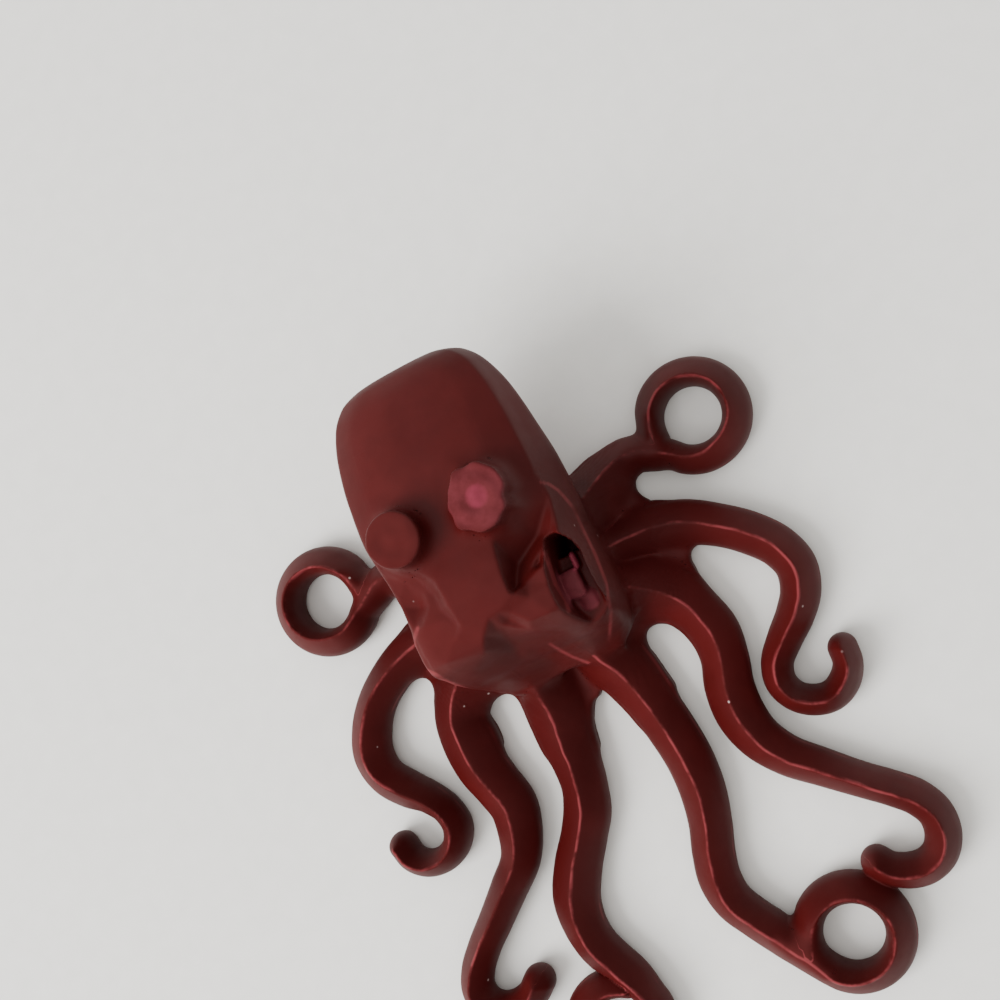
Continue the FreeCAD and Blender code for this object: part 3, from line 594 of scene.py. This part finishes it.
def section_curve(numbers):
    """The right half of a section as a fine line from its foot to its crest."""
    corners = numbers.reshape(-1, 2)
    mirrored = corners[-2] * [-1, 1]
    rows = np.vstack([corners, mirrored])
    places = np.append(CORNER_SHARES, 2 - CORNER_SHARES[-2])
    slopes = np.gradient(rows, places, axis=0) * CORNER_EASE
    fine = np.linspace(0, 1, SECTION_POINTS)
    return hermite(fine, places, rows, slopes)


# Runs that are shorter than this count as points
SHORTEST = 1e-12


def line_distance(one, other, line):
    """Signed distance in a plane from a line of corners, negative where it closes in."""
    squared = np.full(np.broadcast(one, other).shape, np.inf)
    inside = np.zeros(squared.shape, bool)
    for start, end in zip(line[:-1], line[1:]):
        run = end - start
        length = max(run @ run, SHORTEST)
        share = ((one - start[0]) * run[0] + (other - start[1]) * run[1]) / length
        share = np.clip(share, 0, 1)
        away = one - start[0] - share * run[0]
        aside = other - start[1] - share * run[1]
        squared = np.minimum(squared, away ** 2 + aside ** 2)
        crosses = (start[1] > other) != (end[1] > other)
        if crosses.any() and abs(run[1]) > SHORTEST:
            at = start[0] + (other - start[1]) / run[1] * run[0]
            inside ^= crosses & (one < at)
    return np.where(inside, -1.0, 1.0) * np.sqrt(squared)


END_BLEND = 0.5


def head_field(window):
    """Field of the stack of sections, closed by a plane at the back."""
    places = np.array([row[0] for row in HEAD_ROWS])
    numbers = np.array([np.ravel(row[1:]) for row in HEAD_ROWS])
    slopes = calm_slopes(places, numbers)
    across, along, up = [axis[part] for axis, part in zip(AXES, window)]
    field = np.empty((len(across), len(along), len(up)), np.float32)
    for index, place in enumerate(along):
        held = np.clip([place], places[0], places[-1])
        line = section_curve(hermite(held, places, numbers, slopes)[0])
        line = np.vstack([[0.0, line[0, 1]], line])
        field[:, index, :] = line_distance(np.abs(across)[:, None], up[None, :], line)
    return soft_max(field, (along - HEAD_BACK)[None, :, None], END_BLEND)


def face_ceiling(window):
    """Height of the face's facets over a window, their edges slightly rounded."""
    points = [point for line in FACE_LINES for point in line]
    starts = np.cumsum([0] + [len(line) for line in FACE_LINES])
    sharp = [
        (int(start) + step, int(start) + step + 1)
        for start, line in zip(starts, FACE_LINES) for step in range(len(line) - 1)
    ]
    flat = [Vector(point[:2]) for point in points]
    spots, _, faces, from_points, _, _ = delaunay_2d_cdt(flat, sharp, [], 0, FACE_MERGE)
    heights = [
        points[origin[0]][2] if origin else FACE_CROSSING_HEIGHT for origin in from_points
    ]
    across, along = [AXES[axis][window[axis]] for axis in (0, 1)]
    across, along = np.meshgrid(across, along, indexing="ij")
    ceiling = np.full(across.shape, FACE_OPEN_HEIGHT)
    for face in faces:
        (ax, ay), (bx, by), (cx, cy) = [spots[corner] for corner in face]
        size = (by - cy) * (ax - cx) + (cx - bx) * (ay - cy)
        if abs(size) < TINY:
            continue
        one = ((by - cy) * (across - cx) + (cx - bx) * (along - cy)) / size
        two = ((cy - ay) * (across - cx) + (ax - cx) * (along - cy)) / size
        inside = (one >= -TINY) & (two >= -TINY) & (one + two <= 1 + TINY)
        height = (
            one * heights[face[0]] + two * heights[face[1]]
            + (1 - one - two) * heights[face[2]]
        )
        ceiling[inside] = height[inside]
    for _ in range(FACE_EASE_PASSES):
        padded = np.pad(ceiling, 1, mode="edge")
        sides = (
            padded[:-2, 1:-1] + padded[2:, 1:-1] + padded[1:-1, :-2] + padded[1:-1, 2:]
        )
        ceiling = (sides + 4 * ceiling) / 8
    return ceiling


def add_head():
    """Mantle and face: the stack of sections, cut off in front and under the facets."""
    window = skin.window(*HEAD_WINDOW)
    _, along, up = grid(window)
    field = np.maximum(head_field(window), -(along + FACE_FRONT))
    ceiling = face_ceiling(window)
    lean = np.sqrt(1 + sum(slope ** 2 for slope in np.gradient(ceiling, VOXEL)))
    above = (up - ceiling[..., None]) / lean[..., None]
    field = soft_max(field, above, FACE_BLEND)
    owner = np.where(along > BROW_LINE, skin.number("mantle"), skin.number("face"))
    skin.add(window, field, owner, HEAD_BLEND)


add_head()


# Windows and their ribs. LEVELS are the lowest and highest places that are worked out.

SLOT_LEVELS = (5.0, 15.0)
SLOT_MARGIN = 0.8
SLOT_STEP = 0.3
SLOT_ROOF_BLEND = 0.7
SLOT_BLEND = 0.3
RIB_MARGIN = 0.6
RIM_BLEND = 0.12


def add_windows():
    for corners in (SLOT_RIGHT, SLOT_LEFT):
        low, high = np.min(corners, 0) - SLOT_MARGIN, np.max(corners, 0) + SLOT_MARGIN
        window = skin.window([*low, SLOT_LEVELS[0]], [*high, SLOT_LEVELS[1]])
        across, along, up = grid(window)
        line, _ = smooth_rows(corners + corners[:1], SLOT_STEP)
        flat = line_distance(across[:, :, 0], along[:, :, 0], line)
        floor = np.where(along > SLOT_HOLE_ALONG, SLOT_HOLE_FLOOR, SLOT_FLOOR)
        pocket = soft_max(flat[..., None], floor - up, SLOT_BLEND)
        if corners is SLOT_LEFT:
            pocket = soft_max(pocket, up - SLOT_ROOF, SLOT_ROOF_BLEND)
        skin.carve(window, pocket, RIM_BLEND)


add_windows()


def add_ribs():
    for name, blocks in RIBS.items():
        rib = skin.number(name)
        for low, high in blocks:
            window = skin.window(low, high, RIB_MARGIN)
            field = box_field(grid(window), low, high, SLOT_BLEND)
            skin.add(window, field, rib, RIM_BLEND)


add_ribs()


EYE_LEVELS = (10.5, 15.5)
EYE_MARGIN = 2.6
EYE_RIM_BLEND = 0.16
EYE_JOIN = 1.0
EYE_CROWN = 0.03
# The worn eye's outline: how much wider it is, how much it is drawn out and which way,
# and its lumps, each a height, how many there are round the eye, and where they start
WORN_SPREAD = 0.16
WORN_STRETCH = 0.14
WORN_WAY = 1.1
WORN_LUMPS = [(0.045, 7, 0.6), (0.04, 10, 2.0), (0.04, 4, 0.0)]


def worn_radius(turn):
    """Radius of the right eye, a lumpy, longish button."""
    lumps = sum(height * np.sin(count * turn + start) for height, count, start in WORN_LUMPS)
    stretch = WORN_STRETCH * np.cos(2 * (turn - WORN_WAY))
    return EYE_RADIUS + WORN_SPREAD + stretch + lumps


def add_eyes():
    """The right eye is worn and the left one round. Both have faint rings and ripples."""
    for side, name in ((1, "eye_right"), (-1, "eye_left")):
        middle = side * EYE_ACROSS + EYE_SHIFT
        low = [middle - EYE_MARGIN, EYE_ALONG - EYE_MARGIN, EYE_LEVELS[0]]
        high = [middle + EYE_MARGIN, EYE_ALONG + EYE_MARGIN, EYE_LEVELS[1]]
        window = skin.window(low, high)
        across, along, up = grid(window)
        away, ahead = across - middle, along - EYE_ALONG
        out = np.hypot(away, ahead)
        if side > 0:
            radius = worn_radius(np.arctan2(ahead, away))
            relief = 0.03 * np.cos(out * 6.5) + 0.05 * np.sin(3 * away + 1) * np.sin(3 * ahead)
        else:
            radius = EYE_RADIUS
            relief = 0.02 * np.cos(out * 5.5) + 0.03 * np.sin(3 * away) * np.cos(4 * ahead)
        top = EYE_TOP + relief - EYE_CROWN * out ** 2
        field = soft_max(out - radius, up - top, EYE_RIM_BLEND)
        skin.add(window, field, skin.number(name), EYE_JOIN)


add_eyes()


BORE_TOP = 4.0
SOCKET_MARGIN = 1.05
SOCKET_RIM_BLEND = 0.1


def carve_socket():
    """The round socket in the underside."""
    reach = SOCKET_RADIUS + SOCKET_MARGIN
    window = skin.window([-reach, -reach, UNDER], [reach, reach, BORE_TOP])
    across, along, up = grid(window)
    bore = np.maximum(np.hypot(across, along) - SOCKET_RADIUS, up - RIDGE_HEIGHT)
    skin.carve(window, bore, SOCKET_RIM_BLEND)


carve_socket()


# Only what lies this close to the skin is softened, and the softening fades out sideways
# from the place and over the last stretch upwards
SOFTEN_DEPTH = 0.9
SOFTEN_FADE = 2.2
SOFTEN_TOP_FADE = 0.6


def soften(place, reach, passes):
    """Rounds the joint at a place: blurs the field there and fades back to the old one."""
    window = skin.window(place, place, reach)
    sharp = np.clip(skin.field[window], -SOFTEN_DEPTH, SOFTEN_DEPTH)
    soft = sharp
    for _ in range(passes):
        for axis in range(3):
            pads = [(1, 1) if axis == each else (0, 0) for each in range(3)]
            padded = np.pad(soft, pads, mode="edge")
            before, after = [slice(None)] * 3, [slice(None)] * 3
            before[axis], after[axis] = slice(None, -2), slice(2, None)
            soft = 0.5 * soft + 0.25 * (padded[tuple(before)] + padded[tuple(after)])
    across, along, up = grid(window)
    away = np.sqrt((across - place[0]) ** 2 + (along - place[1]) ** 2) / reach
    share = np.clip(SOFTEN_FADE * (1 - away), 0, 1)
    lower = np.clip((place[2] + reach - up) / SOFTEN_TOP_FADE, 0, 1)
    share = share * share * (3 - 2 * share) * lower
    mixed = sharp * (1 - share) + soft * share
    near = np.abs(skin.field[window]) < SOFTEN_DEPTH
    skin.field[window] = np.where(near, mixed, skin.field[window])


# For each kind of joint: its height, how far round it, and the passes
LOOP_JOINT_SOFTENING = (1.6, 1.9, 14)
CROTCH_SOFTENING = (1.2, 1.5, 20)
BORE_MARGIN = 0.8
BORE_BLEND = 0.3


def soften_joints():
    kinds = ((LOOP_JOINTS, LOOP_JOINT_SOFTENING), (CROTCHES, CROTCH_SOFTENING))
    for joints, (height, reach, passes) in kinds:
        for across, along in joints:
            soften((across, along, height), reach, passes)


def bore_loops():
    """Cuts the loops' bores round and clean."""
    reach = BORE_RADIUS + BORE_MARGIN
    for across_share, along_share, _, _ in LOOPS.values():
        middle = (across_share * REACH, along_share * REACH)
        window = skin.window(
            [middle[0] - reach, middle[1] - reach, UNDER],
            [middle[0] + reach, middle[1] + reach, BORE_TOP],
        )
        across, along, _ = grid(window)
        bore = np.hypot(across - middle[0], along - middle[1]) - BORE_FINISH_RADIUS
        skin.carve(window, bore, BORE_BLEND)


soften_joints()
bore_loops()
# The front of the face, from the cheeks down to the arms' roots
soften(place=(-0.3, -4.6, 6.0), reach=6.0, passes=3)
# Nothing lies below the floor
skin.field = np.maximum(skin.field, -AXES[2][None, None, :].astype(np.float32))


# From the grid to a mesh

CORNERS = np.array(list(np.ndindex(2, 2, 2)))
EDGES = [
    (one, other) for one in range(8) for other in range(one + 1, 8)
    if np.abs(CORNERS[one] - CORNERS[other]).sum() == 1
]


def sample(values, places):
    """Values of a grid between its points. A flat grid is read as seen from above."""
    sides = values.ndim
    scaled = (places[:, :sides] - LOW[:sides]) / VOXEL
    cell = np.clip(scaled.astype(int), 0, COUNT[:sides] - 2)
    share = scaled - cell
    total = np.zeros(len(places))
    for corner in np.ndindex(*[2] * sides):
        weight = np.where(corner, share, 1 - share).prod(1)
        total += weight * values[tuple((cell + corner).T)]
    return total


# How far to each side of a place its slope is read, as a share of VOXEL
GRADIENT_SHARE = 0.6


def gradient(values, places):
    """How fast a grid's values change each way."""
    found = np.empty_like(places)
    for axis in range(3):
        shift = np.zeros(3)
        shift[axis] = VOXEL * GRADIENT_SHARE
        found[:, axis] = sample(values, places + shift) - sample(values, places - shift)
    return found / (VOXEL * 2 * GRADIENT_SHARE)


def surface(field, owner):
    """Corners of the skin and of the walls between owners, and each owner's quads."""
    label = np.where(field < 0, owner + 1, 0).astype(np.uint8)
    least = np.full(COUNT - 1, label.max(), np.uint8)
    most = np.zeros(COUNT - 1, np.uint8)
    for corner in CORNERS:
        part = label[tuple(
            slice(start, start + length) for start, length in zip(corner, COUNT - 1)
        )]
        np.minimum(least, part, out=least)
        np.maximum(most, part, out=most)
    cells = np.argwhere(least != most)
    number = np.full(COUNT - 1, -1, np.int32)
    number[tuple(cells.T)] = np.arange(len(cells))
    at = tuple(np.moveaxis(cells[:, None, :] + CORNERS, -1, 0))
    corner_values, corner_labels = field[at], label[at]
    skin_sum, wall_sum = np.zeros((len(cells), 3)), np.zeros((len(cells), 3))
    skin_count, wall_count = np.zeros(len(cells)), np.zeros(len(cells))
    for one, other in EDGES:
        first, last = corner_values[:, one], corner_values[:, other]
        crosses = (first < 0) != (last < 0)
        share = np.where(crosses, first / np.where(crosses, first - last, 1.0), 0.5)
        spot = CORNERS[one] + share[:, None] * (CORNERS[other] - CORNERS[one])
        parted = ~crosses & (corner_labels[:, one] != corner_labels[:, other])
        skin_sum += spot * crosses[:, None]
        wall_sum += spot * parted[:, None]
        skin_count += crosses
        wall_count += parted
    on_skin = skin_count > 0
    total = np.where(on_skin[:, None], skin_sum, wall_sum)
    shares = total / np.where(on_skin, skin_count, wall_count)[:, None]
    spots = LOW + VOXEL * (cells + shares)
    quads = {kind: [] for kind in range(1, label.max() + 1)}
    for axis in range(3):
        one, other = (axis + 1) % 3, (axis + 2) % 3
        near = [slice(1, length - 1) for length in COUNT]
        near[axis] = slice(0, COUNT[axis] - 1)
        far = list(near)
        far[axis] = slice(1, COUNT[axis])
        edges = np.argwhere(label[tuple(near)] != label[tuple(far)])
        edges += [part.start for part in near]
        ring = []
        for step_one, step_other in ((0, 0), (-1, 0), (-1, -1), (0, -1)):
            cell = edges.copy()
            cell[:, one] += step_one
            cell[:, other] += step_other
            ring.append(number[tuple(cell.T)])
        ring = np.stack(ring, 1)
        first = label[tuple(edges.T)]
        edges[:, axis] += 1
        last = label[tuple(edges.T)]
        for kind, faces in quads.items():
            faces.append(ring[first == kind])
            faces.append(ring[last == kind][:, ::-1])
    return spots, on_skin, {kind - 1: np.vstack(faces) for kind, faces in quads.items()}


# The corners are moved onto the skin in a few passes, each by less than a grid step
SETTLE_PASSES = 2
LEAST_STEEPNESS = 0.1

spots, on_skin, quads = surface(skin.field, skin.owner)
for _ in range(SETTLE_PASSES):
    steep = gradient(skin.field, spots)
    size = np.maximum((steep ** 2).sum(1), LEAST_STEEPNESS)
    move = np.clip(sample(skin.field, spots) / size, -VOXEL, VOXEL) * on_skin
    spots -= steep * move[:, None]
normals = gradient(skin.field, spots)
normals /= np.linalg.norm(normals, axis=1)[:, None] + TINY


# Materials. A noise has a scale, detail, roughness and shift, and a ramp its start and
# end, then the values there.

NOISE_SHIFT_SHARES = (1.0, 0.7, 1.3)


class Nodes:
    """Builds up the nodes of a material or of the room."""

    def __init__(self, holder):
        holder.use_nodes = True
        self.holder = holder
        self.tree = holder.node_tree

    def add(self, kind, **settings):
        node = self.tree.nodes.new(kind)
        for key, value in settings.items():
            setattr(node, key, value)
        return node

    def join(self, source, target):
        self.tree.links.new(source, target)

    def feed(self, socket, value):
        if hasattr(value, "is_output"):
            self.join(value, socket)
        else:
            socket.default_value = value

    def place(self):
        return self.add("ShaderNodeNewGeometry").outputs["Position"]

    def number(self, name):
        return self.add("ShaderNodeAttribute", attribute_name=name).outputs["Fac"]

    def noise(self, scale, detail=3.0, rough=0.5, shift=0.0):
        moved = self.add("ShaderNodeVectorMath", operation="ADD")
        self.join(self.place(), moved.inputs[0])
        moved.inputs[1].default_value = [shift * share for share in NOISE_SHIFT_SHARES]
        node = self.add("ShaderNodeTexNoise")
        sockets = ("Vector", "Scale", "Detail", "Roughness")
        for socket, part in zip(sockets, (moved.outputs[0], scale, detail, rough)):
            self.feed(node.inputs[socket], part)
        return node.outputs["Fac"]

    def math(self, operation, one, other=0.0, clamp=False):
        node = self.add("ShaderNodeMath", operation=operation, use_clamp=clamp)
        self.feed(node.inputs[0], one)
        self.feed(node.inputs[1], other)
        return node.outputs[0]

    def ramp(self, value, start, end, low=0.0, high=1.0, kind="SMOOTHSTEP"):
        node = self.add("ShaderNodeMapRange", interpolation_type=kind)
        sockets = ("Value", "From Min", "From Max", "To Min", "To Max")
        for socket, number in zip(sockets, (value, start, end, low, high)):
            self.feed(node.inputs[socket], number)
        return node.outputs["Result"]

    def blend(self, share, one, other):
        node = self.add("ShaderNodeMix", data_type="RGBA")
        for socket, part in (("Factor", share), ("A", one), ("B", other)):
            self.feed(node.inputs[socket], part)
        return node.outputs["Result"]

    def shade(self, name, value):
        """Gives one of the plain shader's sockets a value or a node's output."""
        self.feed(self.tree.nodes["Principled BSDF"].inputs[name], value)


# Colours, in linear light
DEEP_MAROON = (0.046, 0.0024, 0.0024, 1)
WARM_MAROON = (0.064, 0.0048, 0.0048, 1)
# Pale pink of the painted highlights on the crests and lips, and of the flash lines
HIGHLIGHT_AND_FLASH_PINK = (0.22, 0.035, 0.040, 1)
WORN_PINK = (0.120, 0.020, 0.026, 1)
RAW_PINK = (0.21, 0.026, 0.050, 1)
DUST_WHITE = (0.62, 0.50, 0.48, 1)
FLOOR_SHADE = (0.77, 0.755, 0.725, 1)
FLOOR_LIGHT = (0.85, 0.835, 0.805, 1)


def crest_highlight_line(nodes):
    """A painted highlight: a pale hair line on the crest that wanders and fades in and out."""
    wander = nodes.math("MULTIPLY", nodes.math("SUBTRACT", nodes.noise(420, 2), 0.5), 0.42)
    off = nodes.math("ABSOLUTE", nodes.math("ADD", nodes.number("crest"), wander))
    line = nodes.ramp(off, 0.02, 0.13, 1.0, 0.0)
    broken = nodes.ramp(nodes.noise(330, 4, 0.7, 0.4), 0.40, 0.62)
    return nodes.math("MULTIPLY", line, nodes.math("MULTIPLY", broken, 0.75))


def flash_line(nodes):
    """The parting line round the widest place, broken into short stretches."""
    level = nodes.math("SUBTRACT", nodes.number("up"), EDGE_HEIGHT)
    line = nodes.ramp(nodes.math("ABSOLUTE", level), 0.0, 0.16, 1.0, 0.0)
    broken = nodes.ramp(nodes.noise(260, 3, 0.6, 0.9), 0.52, 0.66)
    return nodes.math("MULTIPLY", nodes.math("MULTIPLY", line, broken), 0.35)


def dust_specks(nodes):
    """A few specks: the middles of the few cells whose random value is high."""
    cells = nodes.add("ShaderNodeTexVoronoi")
    nodes.join(nodes.place(), cells.inputs["Vector"])
    cells.inputs["Scale"].default_value = 1300
    near = nodes.ramp(cells.outputs["Distance"], 0.05, 0.13, 1.0, 0.0)
    chosen = nodes.ramp(cells.outputs["Color"], 0.86, 0.88)
    return nodes.math("MULTIPLY", nodes.math("MULTIPLY", near, chosen), 0.55)


def patchy(nodes, name, noise, start, end, low, high):
    """One of the mesh's own numbers, made patchy by a noise."""
    return nodes.math("MULTIPLY", nodes.number(name), nodes.ramp(noise, start, end, low, high))


def maroon():
    """Satin maroon plastic with painted highlights on the crests and the face's lips, a flash
    line, worn spots and a little dust.
    """
    nodes = Nodes(bpy.data.materials.new("maroon_plastic"))
    cloud = nodes.ramp(nodes.noise(140, 4, 0.6), 0.35, 0.68)
    color = nodes.blend(cloud, DEEP_MAROON, WARM_MAROON)
    crest_line = crest_highlight_line(nodes)
    # Painted highlights on the window lips and the face's left edge, and the chin's flash line
    pale = patchy(nodes, "pale", nodes.noise(500, 3, 0.6, 1.1), 0.35, 0.6, 0.12, 0.55)
    worn = patchy(nodes, "worn", nodes.noise(900, 4, 0.7, 0.2), 0.25, 0.7, 0.45, 1.0)
    raw = patchy(nodes, "raw", nodes.noise(1100, 3, 0.6, 0.6), 0.3, 0.7, 0.5, 1.0)
    layers = (
        # painted highlight along the crests of arms, hooks and loops
        (nodes.math("MULTIPLY", crest_line, nodes.number("crest_lined")), HIGHLIGHT_AND_FLASH_PINK),
        (flash_line(nodes), HIGHLIGHT_AND_FLASH_PINK),
        (pale, HIGHLIGHT_AND_FLASH_PINK),
        (worn, WORN_PINK),
        (raw, RAW_PINK),
        (dust_specks(nodes), DUST_WHITE),
    )
    for share, over in layers:
        color = nodes.blend(share, color, over)
    nodes.shade("Base Color", color)
    satin = nodes.ramp(nodes.noise(200, 5, 0.65, 1.5), 0.3, 0.7, 0.50, 0.62)
    rough = nodes.math("ADD", satin, nodes.math("MULTIPLY", worn, 0.15), clamp=True)
    nodes.shade("Roughness", rough)
    nodes.shade("IOR", 1.45)
    nodes.shade("Specular IOR Level", 0.20)
    nodes.shade("Normal", moulded_bump(nodes, crest_line))
    return nodes.holder


def moulded_bump(nodes, crest_line):
    """The moulded skin: a faint orange peel on a slow swell, and a faint ridge under the painted
    crest highlight.
    """
    peel = nodes.noise(1500, 4, 0.6, 2.2)
    swell = nodes.noise(320, 2, 0.5, 3.1)
    height = nodes.math("ADD", nodes.math("MULTIPLY", peel, 0.3), swell)
    height = nodes.math("ADD", height, nodes.math("MULTIPLY", crest_line, 0.8))
    bump = nodes.add("ShaderNodeBump")
    for socket, part in (("Strength", 0.35), ("Distance", 0.00006), ("Height", height)):
        nodes.feed(bump.inputs[socket], part)
    return bump.outputs["Normal"]


def pale_floor():
    """Pale board with a fine grain."""
    nodes = Nodes(bpy.data.materials.new("pale_floor"))
    nodes.shade("Base Color", nodes.blend(nodes.noise(700, 4), FLOOR_SHADE, FLOOR_LIGHT))
    nodes.shade("Roughness", 0.8)
    return nodes.holder


plastic = maroon()


# Spots of the right eye and of the right window's rib, where the plastic is worn or
# raw: each how strong it is, its middle, and its reach each way
EYE_MIDDLE = (EYE_ACROSS, EYE_ALONG, EYE_TOP)
WORN_SPOTS = [
    (0.75, EYE_MIDDLE, (1.5, 1.5, 0.6)),
    (1.2, (3.9, -2.2, 9.9), (0.7, 1.1, 0.5)), (1.2, (4.2, -3.1, 9.3), (0.6, 0.6, 0.4)),
]
RAW_SPOTS = [
    (0.6, EYE_MIDDLE, (0.5, 0.5, 0.6)), (0.9, (4.54, -0.95, 10.0), (0.4, 0.7, 0.4)),
    (0.2, (3.9, -2.2, 9.9), (0.7, 1.1, 0.5)), (0.2, (4.2, -3.1, 9.3), (0.6, 0.6, 0.4)),
]
SPOT_EDGE = 0.35


def spotted(places, spots):
    """How much of the spots there is at each place, from 0 to 1, with soft edges."""
    share = np.zeros(len(places))
    for strength, middle, reach in spots:
        gap = np.linalg.norm((places - np.array(middle)) / np.array(reach), axis=1)
        share += strength * np.clip((1 + SPOT_EDGE - gap) / SPOT_EDGE, 0, 1)
    return np.clip(share, 0, 1)


# Fine pale lines on the face: painted highlights where the right window's outer lip, the
# left edge and the window's inner lip catch the light, and a flash line at the chin. Each is
# a width, and places across and along on a level at LINE_HEIGHT. It shows where it covers the
# skin, seen from SIGHT_FROM.
LINE_HEIGHT = 9.0
SIGHT_FROM = np.array([20.63, -5.87, 83.96])
LIT_EDGE_LINES = [
    (0.055, [(4.61, 3.66), (4.96, 3.36), (5.27, 2.85), (5.6, 1.66), (5.57, 0.47),
             (5.58, -1.14), (5.46, -2.74), (4.99, -4.3), (4.21, -5.64)]),
    (0.07, [(-5.28, -0.48), (-5.78, -0.98), (-5.99, -1.8), (-5.88, -2.76), (-5.41, -3.28),
            (-5.05, -3.86), (-4.19, -4.73), (-3.49, -5.65)]),
    (0.05, [(1.19, -4.43), (1.58, -5.02), (1.91, -5.47), (2.72, -6.31)]),
    (0.08, [(3.11, 0.11), (3.05, -0.64), (2.92, -1.66), (3.04, -2.67), (2.93, -3.27)]),
]
# They are kept off the hidden sides: on these pieces only, and above, in front of or to
# the left of these values
PALE_PIECES = ("face", "base", "mantle")
PALE_ABOVE = 7.0
PALE_BEFORE = -3.0
PALE_LEFT = -4.5


def lit_edge_lines(places):
    """1 on the painted highlight lines and the chin's flash line, 0 away from them."""
    sight = places - SIGHT_FROM
    seen = SIGHT_FROM + sight * ((LINE_HEIGHT - SIGHT_FROM[2]) / sight[:, 2])[:, None]
    share = np.zeros(len(places))
    for width, line in LIT_EDGE_LINES:
        for start, end in zip(np.array(line[:-1]), np.array(line[1:])):
            run = end - start
            along = np.clip((seen[:, :2] - start) @ run / (run @ run), 0, 1)
            gap = np.linalg.norm(seen[:, :2] - start - along[:, None] * run, axis=1)
            share = np.maximum(share, np.clip(2 - gap / width, 0, 1))
    shown = (places[:, 2] > PALE_ABOVE) | (places[:, 1] < PALE_BEFORE)
    return share * (shown | (places[:, 0] < PALE_LEFT))


def place_object(name, data):
    """An object of the scene that shows a mesh, a light or a camera."""
    placed = bpy.data.objects.new(name, data)
    bpy.context.scene.collection.objects.link(placed)
    return placed


# Pieces that get the painted highlight line on their crest
CREST_LINED_PIECES = ("arm", "loop", "hook")


def piece_of(name, number):
    """One closed piece: the skin that a node owns, and the walls that part it from others."""
    used, flat = np.unique(quads[number], return_inverse=True)
    faces = flat.reshape(-1, 4)
    places = spots[used]
    mesh = bpy.data.meshes.new(name + "_skin")
    mesh.from_pydata((places * MM).tolist(), [], faces.tolist())
    mesh.shade_smooth()
    mesh.update()
    turned = np.where(on_skin[used][:, None], normals[used], 0.0)
    mesh.normals_split_custom_set_from_vertices(turned.tolist())
    add_number(mesh, "crest", sample(crest_gap, places))
    add_number(mesh, "up", places[:, 2])
    add_number(mesh, "crest_lined", np.ones(len(places)) * name.startswith(CREST_LINED_PIECES))
    add_number(mesh, "worn", spotted(places, WORN_SPOTS))
    add_number(mesh, "raw", spotted(places, RAW_SPOTS))
    add_number(mesh, "pale", lit_edge_lines(places) * (name in PALE_PIECES))
    mesh.materials.append(plastic)
    piece = place_object(name + "_skin", mesh)
    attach(piece, "root")
    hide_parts(name)
    return piece


def add_number(mesh, name, values):
    """One number for each of a mesh's corners, which its material reads by name."""
    layer = mesh.attributes.new(name, "FLOAT", "POINT")
    layer.data.foreach_set("value", np.asarray(values, np.float32))


pieces = [piece_of(name, number) for number, name in enumerate(skin.names)]
print("pieces", len(pieces), "quads", sum(len(faces) for faces in quads.values()))


# Floor, light and camera, in metres

FLOOR_REACH = 3.0
KEY_PLACE = (-0.26, -0.06, 0.26)
KEY_TARGET = (0, -0.005, 0)
KEY_SIDE = 0.22
KEY_POWER = 2.1
CAMERA_PLACE = (0.02063, -0.00587, 0.08261)
CAMERA_DEGREES = (0.37733, 15.84362, -26.18992)
CAMERA_SENSOR = 36.0
CAMERA_LENS = 50.4
CAMERA_NEAREST = 0.005
# The room is brightest this way, and its light rises between two shares of facing it
BRIGHT_WAY = (-0.42, 0.04, 0.905)
BRIGHT_RAMP = (-0.15, 0.95, 0.16, 1.75)
ROOM_COLOR = (1.0, 0.99, 0.965, 1)


def add_floor():
    mesh = bpy.data.meshes.new("floor")
    reach = FLOOR_REACH
    corners = [(-reach, -reach, 0), (reach, -reach, 0), (reach, reach, 0), (-reach, reach, 0)]
    mesh.from_pydata(corners, [], [(0, 1, 2, 3)])
    mesh.materials.append(pale_floor())
    floor = place_object("floor", mesh)


def add_key_light():
    data = bpy.data.lights.new("key", "AREA")
    data.size = KEY_SIDE
    data.energy = KEY_POWER
    light = place_object("key", data)
    light.location = KEY_PLACE
    light.visible_glossy = False
    toward = Vector(KEY_TARGET) - Vector(KEY_PLACE)
    light.rotation_euler = toward.to_track_quat("-Z", "Y").to_euler()


def add_camera():
    data = bpy.data.cameras.new("camera")
    data.sensor_width = CAMERA_SENSOR
    data.lens = CAMERA_LENS
    data.clip_start = CAMERA_NEAREST
    camera = place_object("camera", data)
    camera.location = CAMERA_PLACE
    camera.rotation_euler = [math.radians(angle) for angle in CAMERA_DEGREES]
    bpy.context.scene.camera = camera


def add_world():
    """A pale room, bright on the window's side and dim on the other."""
    world = bpy.data.worlds.new("room")
    bpy.context.scene.world = world
    nodes = Nodes(world)
    toward = nodes.add("ShaderNodeVectorMath", operation="DOT_PRODUCT")
    place = nodes.add("ShaderNodeTexCoord").outputs["Generated"]
    nodes.join(place, toward.inputs[0])
    nodes.feed(toward.inputs[1], BRIGHT_WAY)
    background = nodes.tree.nodes["Background"]
    nodes.feed(background.inputs["Color"], ROOM_COLOR)
    strength = nodes.ramp(toward.outputs["Value"], *BRIGHT_RAMP, kind="LINEAR")
    nodes.feed(background.inputs["Strength"], strength)


add_floor()
add_key_light()
add_camera()
add_world()
